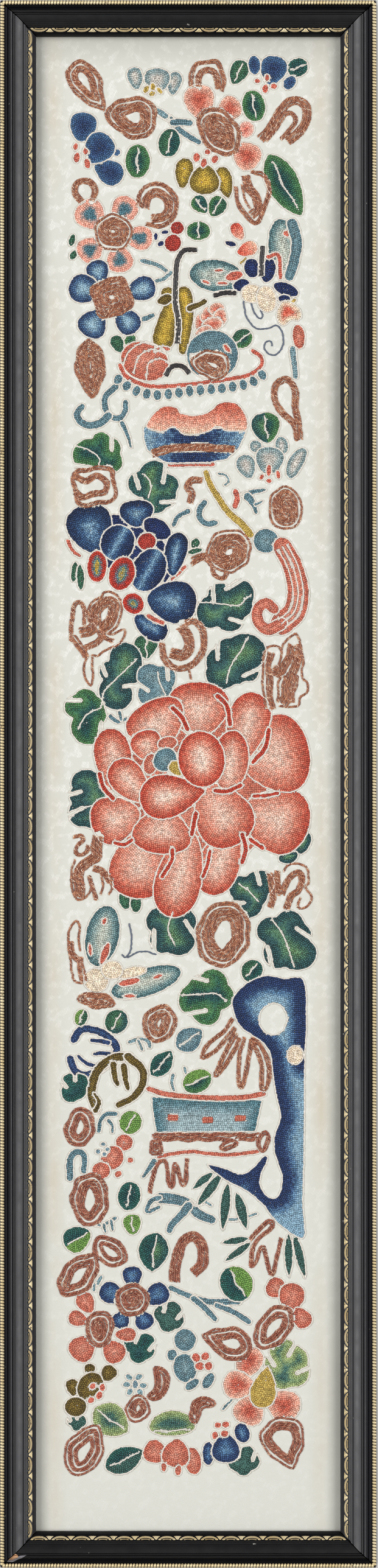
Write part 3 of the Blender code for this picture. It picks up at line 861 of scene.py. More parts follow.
# Petals, fruit and seeds: the place of their middle, their sizes in millimetres, and their turn and bend
PETALS = (
    # shape, px, py, length, width, turn, bend, shade
    ("petal", 222, 127, 8.6, 5.8, 100, 20, "lilac"),
    ("petal", 286, 135, 9.0, 5.4, 78, -20, "lilac"),
    ("petal", 258, 131, 9.8, 9.4, 90, 0, "lilac"),
    ("oval", 240, 145, 3.6, 2.2, 60, 0, "yellow"),
    ("oval", 251, 141, 3.6, 2.2, 95, 0, "yellow"),
    ("oval", 262, 147, 3.2, 2.0, 130, 0, "yellow"),
    ("oval", 250, 152, 3.0, 2.2, 20, 0, "yellow"),
    ("oval", 418, 105, 7.4, 4.8, 95, 0, "blue mid"),
    ("oval", 476, 134, 6.0, 4.6, 50, 0, "blue mid"),
    ("petal", 449, 114, 11.4, 9.8, 75, 0, "blue mid"),
    ("oval", 423, 131, 2.6, 2.2, 0, 0, "coral seed"),
    ("oval", 439, 126, 2.8, 2.2, 90, 0, "coral seed"),
    ("oval", 436, 144, 3.6, 2.8, 80, 0, "coral seed"),
    ("oval", 450, 140, 2.8, 2.6, 0, 0, "coral seed"),
    ("petal", 328, 166, 13.4, 11.2, 100, 0, "coral heart"),
    ("petal", 376, 177, 9.6, 9.0, 35, 0, "coral heart"),
    ("oval", 404, 211, 6.8, 6.2, 60, 0, "pink"),
    ("petal", 404, 253, 11.6, 10.4, -40, 0, "coral heart"),
    ("petal", 178, 280, 11.8, 9.2, -30, 0, "blue mid"),
    ("oval", 192, 249, 3.2, 2.8, 40, 0, "blue mid"),
    ("petal", 136, 207, 11.4, 10.0, 80, 0, "blue mid"),
    ("petal", 161, 243, 12.8, 11.0, 50, 0, "blue mid"),
    ("oval", 124, 239, 3.2, 2.2, 80, 0, "coral seed"),
    ("oval", 140, 247, 3.0, 2.2, 100, 0, "coral seed"),
    ("oval", 126, 257, 4.2, 2.6, 80, 0, "coral seed"),
    ("oval", 143, 267, 4.2, 2.6, 100, 0, "coral seed"),
    ("petal", 302, 283, 11.8, 6.8, 82, 0, "olive gold"),
    ("petal", 369, 298, 12.2, 6.4, 105, 0, "olive gold"),
    ("petal", 336, 293, 11.4, 11.2, -92, 0, "olive gold"),
    ("oval", 323, 257, 3.8, 3.0, 90, 0, "coral seed"),
    ("oval", 341, 248, 2.8, 2.4, 0, 0, "coral seed"),
    ("oval", 335, 266, 3.8, 2.6, 80, 0, "coral seed"),
    ("oval", 353, 260, 3.4, 2.8, 60, 0, "coral seed"),
    ("petal", 149, 352, 12.0, 11.2, 135, 0, "pink teal"),
    ("petal", 203, 345, 11.6, 9.8, 60, 0, "pink teal"),
    ("petal", 227, 389, 11.0, 9.0, -8, 0, "pink teal"),
    ("petal", 196, 424, 10.4, 10.0, -80, 0, "pink teal"),
    ("petal", 149, 408, 10.4, 9.8, -142, 0, "pink teal"),
    ("oval", 291, 373, 5.4, 5.2, 0, 0, "red"),
    ("oval", 284, 398, 6.8, 6.4, 60, 0, "red"),
    ("oval", 256, 387, 3.2, 1.9, 90, 0, "navy"),
    ("oval", 271, 380, 3.4, 1.9, 5, 0, "navy"),
    ("oval", 264, 399, 3.0, 2.4, 30, 0, "navy"),
    ("petal", 161, 446, 9.4, 8.4, 110, 0, "blue pale"),
    ("petal", 140, 474, 12.8, 10.6, 165, 0, "blue pale"),
    ("petal", 231, 474, 11.8, 9.0, 20, 0, "blue pale"),
    ("petal", 153, 530, 11.2, 10.8, -122, 0, "blue pale"),
    ("petal", 208, 525, 11.4, 9.2, -52, 0, "blue pale"),
    ("oval", 271, 491, 6.4, 3.8, 20, 0, "olive"),
    ("oval", 331, 527, 7.4, 5.0, 72, 0, "coral heart"),
    ("oval", 342, 514, 7.2, 4.8, 58, 0, "coral heart"),
    ("oval", 356, 506, 6.0, 4.8, 10, 0, "coral heart"),
    ("oval", 362, 521, 7.0, 5.0, 85, 0, "coral heart"),
    ("oval", 349, 532, 8.0, 5.2, 15, 0, "coral heart"),
    ("oval", 334, 545, 7.4, 4.4, 30, 0, "coral heart"),
    ("oval", 238, 592, 18.6, 14.4, -20, 0, "coral"),
    ("oval", 349, 582, 19.4, 18.6, 0, 0, "teal"),
    ("oval", 373, 571, 4.0, 1.9, -50, 0, "coral seed"),
    ("oval", 316, 586, 3.0, 2.0, 80, 0, "coral seed"),
    ("oval", 420, 732, 4.8, 4.6, 0, 0, "lilac"),
    ("oval", 463, 731, 7.0, 5.2, 100, 0, "lilac"),
    ("petal", 405, 766, 9.4, 7.0, 110, 0, "lilac"),
    ("oval", 486, 759, 13.0, 5.8, 62, -40, "lilac"),
    ("petal", 443, 756, 10.6, 10.4, 85, 0, "lilac"),
    ("oval", 442, 772, 4.8, 2.2, 88, 0, "coral seed"),
    ("oval", 457, 779, 3.6, 2.0, 100, 0, "coral seed"),
    ("oval", 430, 783, 2.6, 2.0, 60, 0, "coral seed"),
    ("oval", 442, 789, 2.4, 2.2, 0, 0, "coral seed"),
    ("oval", 437, 888, 9.6, 9.2, 0, 0, "teal"),
    ("oval", 218, 905, 34.0, 22.0, -40, 0, "navy"),
    ("petal", 224, 843, 10.4, 12.6, 95, 0, "peony blue"),
    ("petal", 148, 868, 18.8, 16.8, 105, 0, "peony blue"),
    ("oval", 258, 868, 11.4, 7.4, -30, 40, "navy"),
    ("petal", 288, 910, 16.8, 8.4, 78, -20, "peony blue"),
    ("oval", 193, 891, 13.6, 12.8, 60, 0, "peony streak"),
    ("oval", 241, 889, 7.2, 6.6, 20, 0, "red"),
    ("oval", 244, 936, 17.0, 12.6, 62, 0, "peony streak"),
    ("petal", 247, 1029, 14.2, 9.0, -30, 20, "peony blue"),
    ("petal", 282, 988, 18.8, 15.8, -8, 0, "peony blue"),
    ("oval", 159, 930, 12.0, 7.6, 88, 0, "pod"),
    ("oval", 200, 942, 13.0, 9.8, 72, 0, "pod"),
    ("oval", 219, 991, 8.6, 7.8, -40, 0, "pod"),
    ("oval", 330, 1295, 56.0, 62.0, 0, 0, "coral"),
    ("petal", 453, 1346, 25.6, 24.0, -18, 0, "peony coral"),
    ("petal", 452, 1240, 26.0, 28.5, 12, 0, "peony coral"),
    ("petal", 406, 1194, 26.5, 15.4, 75, -30, "peony coral"),
    ("petal", 326, 1166, 21.0, 22.0, 85, 0, "peony coral"),
    ("petal", 258, 1188, 17.4, 22.4, 118, 0, "peony coral"),
    ("petal", 188, 1254, 26.4, 13.6, 102, -20, "peony coral"),
    ("petal", 190, 1346, 18.8, 17.6, -160, 0, "peony coral"),
    ("petal", 362, 1414, 27.0, 15.4, -112, 0, "peony coral"),
    ("petal", 229, 1420, 25.8, 21.6, -98, 0, "peony coral"),
    ("petal", 296, 1436, 33.0, 17.0, -104, 0, "peony coral"),
    ("petal", 266, 1366, 17.0, 21.6, -95, 0, "peony coral"),
    ("petal", 364, 1338, 25.6, 21.0, -58, 0, "peony coral"),
    ("oval", 379, 1249, 22.6, 13.6, 84, 0, "peony coral"),
    ("petal", 213, 1284, 19.0, 12.6, 130, 0, "peony coral"),
    ("petal", 241, 1225, 11.8, 11.4, 110, 0, "peony coral"),
    ("oval", 275, 1221, 7.6, 5.0, 15, 0, "coral"),
    ("oval", 247, 1255, 8.0, 5.4, 78, 0, "coral"),
    ("oval", 271, 1248, 9.4, 8.4, 40, 0, "teal"),
    ("oval", 292, 1262, 7.2, 5.6, -20, 0, "yellow"),
    ("drop", 284, 1307, 25.0, 18.0, 8, 0, "peony heart"),
    ("oval", 331, 1247, 21.0, 17.6, 98, 0, "peony heart"),
    ("oval", 204, 1878, 6.8, 6.4, 0, 0, "coral"),
    ("oval", 184, 1903, 9.4, 8.6, 60, 0, "coral"),
    ("oval", 166, 1924, 7.0, 6.6, 0, 0, "coral"),
    ("oval", 194, 1930, 3.2, 2.8, 40, 0, "coral"),
    ("oval", 214, 1907, 2.6, 2.6, 0, 0, "coral"),
    ("oval", 169, 1881, 2.2, 2.0, 0, 0, "grey blue"),
    ("oval", 176, 1889, 2.2, 2.0, 0, 0, "grey blue"),
    ("oval", 161, 1893, 2.2, 2.0, 0, 0, "grey blue"),
    ("oval", 171, 1897, 2.2, 2.0, 0, 0, "grey blue"),
    ("petal", 217, 2099, 8.2, 7.4, 90, 0, "blue"),
    ("petal", 257, 2129, 10.0, 8.4, 35, 0, "blue"),
    ("petal", 236, 2170, 7.6, 7.2, -60, 0, "blue"),
    ("petal", 199, 2169, 7.4, 6.8, -115, 0, "blue"),
    ("petal", 184, 2127, 10.2, 8.0, 150, 0, "blue"),
    ("petal", 141, 2142, 8.6, 6.8, 120, 0, "coral"),
    ("petal", 128, 2168, 7.6, 6.0, 160, 0, "coral"),
    ("petal", 206, 2194, 8.2, 5.2, 0, 0, "coral"),
    ("petal", 136, 2216, 10.6, 9.8, -135, 0, "coral"),
    ("petal", 186, 2221, 9.6, 8.4, -50, 0, "coral"),
    ("petal", 455, 2118, 8.2, 7.8, 150, 0, "coral"),
    ("petal", 479, 2134, 11.6, 9.4, 80, 0, "coral"),
    ("petal", 496, 2166, 8.6, 6.8, -60, 0, "coral"),
    ("oval", 304, 2203, 8.6, 8.4, 90, 0, "teal"),
    ("oval", 283, 2228, 4.2, 4.6, 0, 0, "teal"),
    ("oval", 304, 2249, 11.0, 9.0, 100, 0, "teal"),
    ("oval", 316, 2276, 6.4, 3.4, 35, 0, "teal"),
    ("oval", 342, 2270, 6.8, 4.0, 60, 0, "teal"),
    ("oval", 322, 2232, 3.8, 3.4, 120, 0, "coral seed"),
    ("oval", 337, 2230, 3.6, 3.2, 40, 0, "coral seed"),
    ("oval", 328, 2246, 3.8, 3.4, 0, 0, "coral seed"),
    ("oval", 343, 2246, 3.4, 3.4, 60, 0, "coral seed"),
    ("petal", 147, 2252, 5.0, 4.4, 90, 0, "olive"),
    ("petal", 178, 2258, 6.6, 6.0, 60, 0, "olive"),
    ("petal", 119, 2281, 6.8, 5.0, 100, 0, "olive"),
    ("oval", 148, 2280, 11.6, 9.6, 60, 0, "olive"),
    ("oval", 124, 2313, 8.4, 7.6, 0, 0, "olive"),
    ("oval", 152, 2279, 3.0, 2.4, 40, 0, "coral seed"),
    ("oval", 168, 2281, 3.2, 2.6, 90, 0, "coral seed"),
    ("oval", 163, 2294, 3.4, 2.8, 60, 0, "coral seed"),
    ("oval", 149, 2302, 3.0, 2.6, 30, 0, "coral seed"),
    ("oval", 212, 2264, 3.2, 2.4, 150, 0, "teal pale"),
    ("oval", 228, 2264, 3.2, 2.4, 30, 0, "teal pale"),
    ("oval", 208, 2276, 3.2, 2.4, 0, 0, "teal pale"),
    ("oval", 235, 2278, 3.2, 2.4, 0, 0, "teal pale"),
    ("oval", 213, 2288, 3.2, 2.4, 60, 0, "teal pale"),
    ("oval", 230, 2289, 3.2, 2.4, 120, 0, "teal pale"),
    ("oval", 222, 2276, 3.4, 2.6, 90, 0, "grey blue"),
    ("petal", 408, 2241, 13.0, 9.6, 60, 0, "coral heart"),
    ("petal", 393, 2277, 12.0, 10.4, 175, 0, "coral heart"),
    ("petal", 410, 2318, 11.8, 11.4, -115, 0, "coral heart"),
    ("petal", 465, 2310, 13.0, 12.0, -30, 0, "coral heart"),
    ("drop", 434, 2280, 16.0, 10.6, 80, 0, "yellow"),
    ("petal", 256, 2388, 9.6, 8.6, 150, 0, "coral"),
    ("oval", 317, 2402, 10.6, 6.4, 100, 0, "coral"),
    ("petal", 289, 2389, 10.8, 10.2, -100, 0, "coral"),
    ("oval", 269, 2412, 3.6, 2.4, 90, 0, "coral"),
    ("oval", 293, 2418, 4.2, 2.8, 80, 0, "coral"),
    ("oval", 342, 2390, 9.0, 4.6, 90, 0, "blue"),
    ("oval", 398, 2356, 7.8, 6.0, 110, 0, "blue"),
    ("petal", 371, 2381, 11.0, 10.4, -90, 0, "blue"),
    ("oval", 358, 2343, 3.0, 2.6, 0, 0, "coral seed"),
    ("oval", 371, 2342, 3.2, 2.6, 0, 0, "coral seed"),
    ("oval", 353, 2360, 3.2, 2.6, 80, 0, "coral seed"),
    ("oval", 369, 2357, 3.4, 2.8, 10, 0, "coral seed"),
)

# Couched copper: like petals, with the rows from the outline inwards, o for a cord and a dot for bare silk
COILS = (
    # shape, px, py, length, width, turn, bend, rows, thread
    ("drop", 145, 141, 22.0, 13.0, -57, 0, "oo.ooo", "copper"),
    ("petal", 215, 190, 19.4, 15.8, -12, 0, "oo.ooooo", "copper"),
    ("oval", 360, 214, 20.0, 14.4, -55, 0, "oo.oooooo", "copper"),
    ("oval", 186, 380, 14.4, 13.8, 0, 0, "o.oooooo", "copper"),
    ("box", 184, 487, 14.6, 14.2, 20, 0, "oooooooo", "copper"),
    ("leaf", 148, 604, 22.4, 11.6, -86, 0, "ooooooo", "copper"),
    ("petal", 345, 597, 14.6, 10.8, -15, 0, "o.oooo", "copper"),
    ("box", 155, 798, 16.4, 14.6, 8, 0, "oo", "copper"),
    ("oval", 469, 834, 16.6, 12.8, 95, 0, "o.oooooo", "copper"),
    ("oval", 376, 905, 17.4, 16.2, 30, 0, "o.ooooooo", "copper"),
    ("oval", 367, 1535, 25.0, 20.0, 78, 0, "oo.oooooo", "copper"),
    ("oval", 158, 1644, 14.4, 6.2, -8, 0, "oooo", "copper"),
    ("oval", 262, 1682, 14.6, 12.6, 70, 0, "oo.oooo", "copper"),
    ("oval", 131, 1853, 15.2, 11.4, 80, 0, "oo.ooo", "red copper"),
    ("oval", 147, 1972, 20.0, 14.5, 90, 0, "oo.oooo", "red copper"),
    ("box", 342, 1869, 42.0, 3.4, 0, 0, "oo", "red copper"),
    ("box", 256, 1886, 6.0, 4.8, 100, 0, "ooo", "red copper"),
    ("oval", 433, 1876, 8.6, 4.8, 80, 0, "oo", "red copper"),
    ("oval", 376, 1882, 7.4, 4.2, 20, 0, "oo", "red copper"),
    ("oval", 180, 2057, 14.4, 10.4, -35, 0, "oo.oo", "red copper"),
    ("leaf", 130, 2095, 21.0, 12.4, 48, 0, "oo.ooo", "red copper"),
    ("oval", 217, 2137, 12.8, 12.4, 0, 0, "oo.ooooo", "red copper"),
    ("oval", 163, 2184, 13.6, 11.0, 85, 0, "oo.ooooo", "red copper"),
    ("drop", 372, 2206, 19.4, 13.8, 162, 0, "oo.ooo", "red copper"),
    ("oval", 450, 2182, 19.0, 12.4, 52, 0, "oo.ooo", "red copper"),
    ("oval", 262, 2275, 16.0, 5.6, 80, 170, "ooo", "red copper"),
    ("oval", 226, 2316, 10.6, 9.2, 90, 0, "o.ooo", "red copper"),
    ("oval", 329, 2315, 15.0, 4.8, -135, 190, "ooo", "red copper"),
    ("leaf", 139, 2384, 21.0, 14.0, 62, 0, "o.oo.oo", "red copper"),
    ("drop", 468, 2374, 20.0, 18.0, -72, 0, "o.oooo", "red copper"),
)

# Bare places left in the fields, with a couched cord round them
OPENINGS = (
    # shape, px, py, length, width, turn, bend
    ("oval", 449, 1675, 11.8, 10.4, 85, 0),
)

# Copper cords laid as strokes: how many lie side by side, and the path of their middle
COPPER_STROKES = (
    # cords, path
    (2, ((314, 139), (315, 120), (322, 104), (340, 101), (356, 99), (364, 112), (369, 130),
        (364, 147))),
    (3, ((326, 139), (327, 124), (336, 114), (350, 115), (356, 126), (359, 143))),
    (4, ((429, 226), (443, 210), (456, 188), (470, 169), (488, 163), (503, 174), (503, 196),
        (493, 214), (474, 230))),
    (2, ((438, 229), (455, 208), (466, 188), (478, 184), (486, 195), (476, 212), (462, 226))),
    (3, ((134, 329), (123, 315), (127, 299), (146, 296), (156, 310), (151, 327))),
    (2, ((227, 336), (229, 316), (242, 304), (263, 301), (283, 315), (290, 335), (283, 358),
        (265, 370), (241, 366))),
    (4, ((238, 340), (243, 322), (258, 315), (274, 325), (277, 342), (268, 355), (250, 357))),
    (2, ((387, 306), (391, 333), (407, 355), (422, 364), (435, 338), (442, 312), (434, 287),
        (414, 281))),
    (4, ((404, 288), (408, 305), (420, 321), (424, 342), (414, 352))),
    (1, ((398, 303), (402, 326), (411, 341))),
    (3, ((490, 722), (483, 695), (463, 676), (451, 654), (454, 631), (472, 622), (485, 640),
        (485, 667), (491, 695), (492, 720))),
    (3, ((123, 781), (140, 790), (158, 781), (174, 790), (172, 807), (154, 810), (136, 817),
        (125, 808))),
    (3, ((331, 789), (315, 788), (308, 799), (315, 810), (312, 825))),
    (2, ((116, 1052), (117, 1030), (119, 1004), (123, 992), (130, 988), (136, 993), (138, 1006),
        (138, 1026))),
    (1, ((145, 1022), (146, 1000), (155, 986), (167, 980), (171, 973), (183, 973), (195, 982),
        (199, 996), (198, 1012), (191, 1028), (178, 1041))),
    (5, ((132, 1039), (149, 1034), (157, 1022), (155, 1006), (165, 994), (177, 987), (187, 992),
        (185, 1008), (179, 1022), (166, 1034))),
    (3, ((119, 1046), (127, 1058), (135, 1068), (141, 1078))),
    (3, ((141, 1064), (157, 1057), (166, 1047), (163, 1034))),
    (2, ((168, 1036), (172, 1047), (185, 1053))),
    (1, ((176, 1040), (185, 1042), (195, 1037), (205, 1034), (203, 1048), (195, 1058),
        (181, 1064), (167, 1072), (159, 1078), (151, 1076))),
    (1, ((145, 1077), (139, 1088), (138, 1104), (143, 1120), (150, 1126), (153, 1112),
        (152, 1096), (151, 1080))),
    (3, ((266, 1057), (271, 1084), (290, 1098), (317, 1091), (334, 1066), (333, 1036),
        (320, 1021), (305, 1023))),
    (5, ((298, 1029), (308, 1045), (311, 1063), (300, 1077), (281, 1072))),
    (1, ((311, 1098), (313, 1115))),
    (1, ((438, 1163), (436, 1147), (431, 1125), (432, 1095), (434, 1075), (442, 1063),
        (456, 1061), (463, 1071), (460, 1087), (456, 1099))),
    (3, ((448, 1164), (443, 1143), (444, 1119), (441, 1095), (446, 1073))),
    (5, ((449, 1100), (463, 1105), (471, 1093), (478, 1077), (483, 1060), (488, 1078),
        (483, 1096), (476, 1112), (471, 1128), (472, 1143), (465, 1155))),
    (1, ((463, 1071), (464, 1061), (474, 1049), (486, 1041), (492, 1053), (496, 1071),
        (499, 1087), (496, 1103), (498, 1115), (505, 1121), (504, 1137), (493, 1145), (490, 1159),
        (474, 1161), (460, 1159))),
    (3, ((486, 1110), (484, 1126), (479, 1139), (480, 1153))),
    (1, ((456, 1153), (458, 1139), (456, 1123), (462, 1112))),
    (2, ((121, 1375), (133, 1373), (137, 1381), (127, 1389), (124, 1399), (131, 1405),
        (142, 1400), (145, 1390))),
    (5, ((161, 1375), (158, 1391), (158, 1407), (145, 1417), (132, 1427), (128, 1441),
        (131, 1457), (129, 1473))),
    (1, ((123, 1413), (117, 1429), (117, 1449), (120, 1467), (127, 1479), (139, 1475),
        (149, 1463), (152, 1450))),
    (3, ((154, 1427), (165, 1430), (174, 1438), (181, 1449))),
    (2, ((146, 1440), (151, 1455), (158, 1478))),
    (1, ((166, 1438), (169, 1455), (165, 1469))),
    (1, ((181, 1449), (185, 1460), (179, 1469))),
    (3, ((444, 1490), (449, 1475), (447, 1455), (443, 1436))),
    (3, ((456, 1432), (456, 1451), (462, 1470), (470, 1451), (481, 1437), (493, 1434),
        (496, 1448), (490, 1463), (478, 1473), (471, 1493))),
    (1, ((466, 1431), (474, 1421), (492, 1419), (504, 1425), (508, 1437), (508, 1451),
        (502, 1457), (512, 1471), (511, 1482), (502, 1491), (490, 1491), (494, 1476))),
    (1, ((112, 1548), (114, 1530), (124, 1514), (130, 1520), (129, 1540), (130, 1562))),
    (3, ((115, 1548), (117, 1566), (128, 1578))),
    (1, ((114, 1570), (117, 1594), (122, 1612), (134, 1617))),
    (3, ((131, 1574), (133, 1594), (137, 1612))),
    (2, ((315, 926), (333, 917), (348, 929), (352, 943), (367, 949), (373, 938))),
    (2, ((316, 918), (334, 911), (350, 919))),
    (2, ((250, 741), (270, 735), (291, 732), (332, 731), (384, 735))),
    (2, ((252, 747), (270, 741), (291, 738), (332, 737), (383, 740))),
    (2, ((382, 1675), (368, 1695), (341, 1718), (331, 1738), (348, 1731), (368, 1712),
        (386, 1690))),
    (2, ((388, 1699), (372, 1727), (354, 1766), (363, 1760), (380, 1735), (394, 1707))),
    (2, ((402, 1706), (393, 1740), (393, 1783), (400, 1783), (408, 1740), (414, 1712))),
    (2, ((416, 1714), (430, 1750), (430, 1788), (440, 1785), (442, 1750), (428, 1718),
        (413, 1706))),
)
RED_COPPER_STROKES = (
    # cords, path
    (5, ((286, 2106), (289, 2075), (300, 2043), (319, 2033), (333, 2050), (332, 2078),
        (318, 2092))),
    (2, ((246, 1960), (252, 1930), (262, 1910), (273, 1912), (277, 1945), (283, 1950),
        (287, 1912), (299, 1945), (305, 1942), (307, 1905))),
    (2, ((412, 2037), (440, 2008), (447, 2018), (420, 2042), (412, 2080), (420, 2075),
        (432, 2050), (446, 2096), (456, 2060), (462, 2036))),
)

# Narrow turned-over edges of petals, and the rims of the dish and the bowl
TURNED_EDGES = (
    # shade, width, path
    ("coral deep", 2.0, ((357, 1143), (373, 1160), (378, 1190))),
    ("coral deep", 2.0, ((283, 1163), (298, 1177), (308, 1198))),
    ("coral deep", 2.0, ((442, 1199), (436, 1228), (416, 1252))),
    ("coral deep", 1.7, ((417, 1308), (436, 1307), (457, 1303))),
    ("coral deep", 1.9, ((353, 1299), (374, 1300), (396, 1290))),
    ("coral deep", 2.0, ((163, 1271), (170, 1294), (186, 1312))),
    ("coral deep", 2.0, ((322, 1336), (315, 1371))),
    ("coral deep", 1.8, ((411, 1379), (432, 1394))),
    ("coral deep", 1.7, ((188, 1385), (203, 1388), (217, 1380))),
    ("coral deep", 1.8, ((283, 1396), (282, 1414), (266, 1441))),
    ("coral deep", 1.7, ((345, 1398), (341, 1420), (333, 1441))),
    ("coral deep", 2.0, ((398, 1371), (404, 1394), (398, 1417))),
    ("coral seed", 1.9, ((243, 1011), (255, 1018), (268, 1023))),
    ("coral seed", 1.9, ((197, 599), (206, 616), (227, 628), (256, 634), (315, 630), (373, 622),
        (409, 615), (429, 600), (429, 585), (415, 575))),
    ("coral", 1.6, ((256, 574), (266, 570), (277, 573))),
    ("yellow", 1.6, ((396, 431), (404, 424), (413, 419))),
    ("yellow", 1.6, ((458, 501), (471, 501), (485, 491))),
    ("coral seed", 1.9, ((278, 763), (315, 762), (350, 762))),
)

# Butterflies, shells and the bowl's fruit, like petals
FIGURES = (
    # shape, px, py, length, width, turn, bend, shade
    ("petal", 391, 379, 7.4, 4.8, 120, 0, "coral tip"),
    ("petal", 406, 408, 8.2, 5.6, 20, 0, "coral foot"),
    ("oval", 379, 399, 4.8, 2.2, -15, 0, "navy"),
    ("oval", 356, 452, 20.6, 12.2, -8, 0, "wing"),
    ("oval", 466, 408, 23.0, 11.5, 97, 0, "wing"),
    ("oval", 360, 443, 4.2, 1.4, 0, 0, "coral seed"),
    ("oval", 338, 462, 3.6, 1.6, -20, 0, "coral seed"),
    ("oval", 385, 452, 7.0, 3.6, 15, 0, "coral seed"),
    ("oval", 365, 464, 4.6, 1.6, 0, 0, "coral seed"),
    ("oval", 397, 467, 6.6, 4.8, 15, 0, "navy"),
    ("oval", 414, 439, 7.6, 6.0, 100, 0, "navy"),
    ("oval", 441, 443, 9.4, 5.6, 75, 0, "navy"),
    ("oval", 470, 474, 10.0, 5.0, -20, 0, "navy"),
    ("oval", 467, 489, 5.0, 3.0, 0, 0, "navy"),
    ("oval", 472, 382, 3.4, 2.6, 0, 0, "coral seed"),
    ("oval", 476, 434, 3.6, 2.3, 60, 0, "coral seed"),
    ("oval", 414, 481, 8.0, 7.0, 0, 0, "cream"),
    ("oval", 438, 490, 10.0, 7.4, 100, 0, "cream"),
    ("heart", 473, 511, 9.8, 9.0, -70, 0, "shell"),
    ("oval", 491, 552, 9.4, 5.0, 95, 0, "coral"),
    ("oval", 168, 1538, 23.2, 12.6, 78, 0, "wing"),
    ("oval", 171, 1514, 3.0, 2.0, 70, 0, "coral seed"),
    ("oval", 148, 1561, 4.8, 1.7, 95, 0, "coral seed"),
    ("oval", 172, 1567, 9.0, 2.8, 70, 0, "coral seed"),
    ("oval", 240, 1614, 27.5, 10.4, 18, 0, "wing"),
    ("oval", 216, 1598, 11.7, 4.0, 12, 0, "cream"),
    ("oval", 212, 1614, 8.6, 2.8, 12, 0, "coral seed"),
    ("oval", 259, 1605, 4.2, 1.7, 20, 0, "coral seed"),
    ("oval", 213, 1637, 4.8, 1.7, 0, 0, "coral seed"),
    ("oval", 158, 1611, 9.4, 9.0, 0, 0, "cream"),
    ("oval", 184, 1594, 8.0, 7.0, 0, 0, "cream"),
    ("oval", 485, 1734, 7.0, 6.0, 80, 0, "cream"),
)

# The tassel, its hook, and the turned edge of the upper butterfly's wing
BANDS = (
    # shade, width, end width, path
    ("coral", 7.2, 9.0, ((464, 897), (481, 930), (490, 970), (484, 1004), (463, 1024))),
    ("coral", 4.6, 4.2, ((463, 1024), (440, 1034), (424, 1020), (424, 1000), (438, 990), (450, 1000))),
    ("teal", 4.4, 4.0, ((480, 366), (488, 395), (484, 425), (476, 452))),
    ("coral seed", 1.8, 1.8, ((440, 421), (458, 418), (461, 455))),
)

# The white lines between the tassel's strands, in millimetres from the middle of its first band
TASSEL_LINES = (-1.9, 0.0, 1.9)

# The bowl: its frilled collar and its body, and the row of scallops under the dish, their step and their size
BOWL_COLLAR = (
    (240, 699), (253, 678), (271, 666), (291, 669), (297, 678), (323, 681), (344, 675), (359, 662),
    (376, 659), (394, 666), (406, 687), (404, 706), (385, 707), (370, 706), (357, 699), (344, 707),
    (323, 713), (303, 713), (285, 700), (268, 708), (253, 706),
)
BOWL_BODY = (
    (235, 700), (406, 704), (400, 720), (391, 737), (373, 754), (345, 759), (274, 760), (253, 748),
    (240, 737), (236, 720),
)
DISH_SCALLOPS = ((194, 622), (221, 640), (260, 648), (316, 641), (371, 636), (413, 627), (431, 615))
DISH_SCALLOP_STEP = 4.1
DISH_SCALLOP_SIZE = (3.4, 4.3)

# Threads laid along a path: a white cord, a black satin stroke or a fine antenna
LINES = (
    # kind, path
    ("white", ((121, 731), (140, 736), (153, 743), (163, 752), (162, 764))),
    ("white", ((243, 818), (248, 802), (245, 788), (236, 778))),
    ("white", ((327, 989), (350, 990), (390, 994), (403, 984), (413, 977))),
    ("white", ((372, 1123), (379, 1094), (395, 1070), (407, 1047))),
    ("white", ((259, 1103), (262, 1120), (272, 1142))),
    ("white", ((224, 1083), (197, 1109), (171, 1136), (167, 1159))),
    ("white", ((167, 1162), (142, 1174), (128, 1197))),
    ("white", ((113, 1347), (130, 1330), (153, 1323))),
    ("white", ((392, 1452), (408, 1463), (425, 1482))),
    ("white", ((283, 1500), (276, 1527), (287, 1553))),
    ("white", ((446, 1510), (466, 1538), (484, 1590))),
    ("white", ((297, 1636), (330, 1634), (355, 1633), (372, 1645))),
    ("white", ((270, 573), (238, 561), (212, 576), (201, 600))),
    ("white", ((277, 583), (252, 573), (229, 583), (219, 612))),
    ("white", ((281, 597), (262, 588), (244, 596), (240, 622))),
    ("black", ((323, 409), (301, 411), (291, 429), (289, 453), (288, 496), (293, 525), (291, 563))),
    ("black", ((351, 484), (370, 480), (389, 480))),
    ("black", ((432, 403), (430, 428), (429, 452))),
    ("black", ((272, 617), (280, 603), (291, 599), (303, 603), (311, 612))),
    ("antenna", ((400, 493), (405, 519), (420, 538), (441, 538), (455, 533), (464, 545), (465, 566),
        (455, 581), (442, 581), (434, 570), (437, 560), (446, 560), (447, 567))),
    ("antenna", ((412, 496), (418, 512), (426, 522), (432, 518), (428, 509))),
    ("antenna", ((212, 1517), (216, 1541), (214, 1562), (206, 1574), (200, 1568))),
    ("antenna", ((209, 1574), (226, 1565), (242, 1564), (257, 1569))),
)

# The scholar's rock: its dark edge, then its pale edge, and the planter, all in the photograph. The sizes
# of the planter's panels and the widths of its rim and foot are in millimetres
ROCK_DARK_EDGE = (
    (501, 1745), (504, 1679), (499, 1611), (467, 1608), (440, 1603), (412, 1612), (386, 1634), (382, 1656),
    (396, 1688), (430, 1712), (444, 1732), (448, 1762), (454, 1800), (461, 1836), (451, 1868), (452, 1896),
    (464, 1936), (457, 1966), (442, 1968), (428, 1950), (430, 1928), (440, 1906), (434, 1900), (416, 1919),
    (396, 1930), (368, 1920), (340, 1914),
)
ROCK_PALE_EDGE = ((368, 1938), (404, 1957), (432, 1980), (458, 2012), (499, 2035), (498, 1978), (500, 1890))
PLANTER = ((256, 1861), (248, 1803), (431, 1808), (420, 1860))
PLANTER_PANELS = ((284, 1837), (341, 1841), (395, 1838))
PANEL_SIZE = (4.4, 2.6)
PLANTER_RIM = ((244, 1790), (277, 1799), (337, 1804), (396, 1804), (433, 1798))
RIM_WIDTH = 2.3
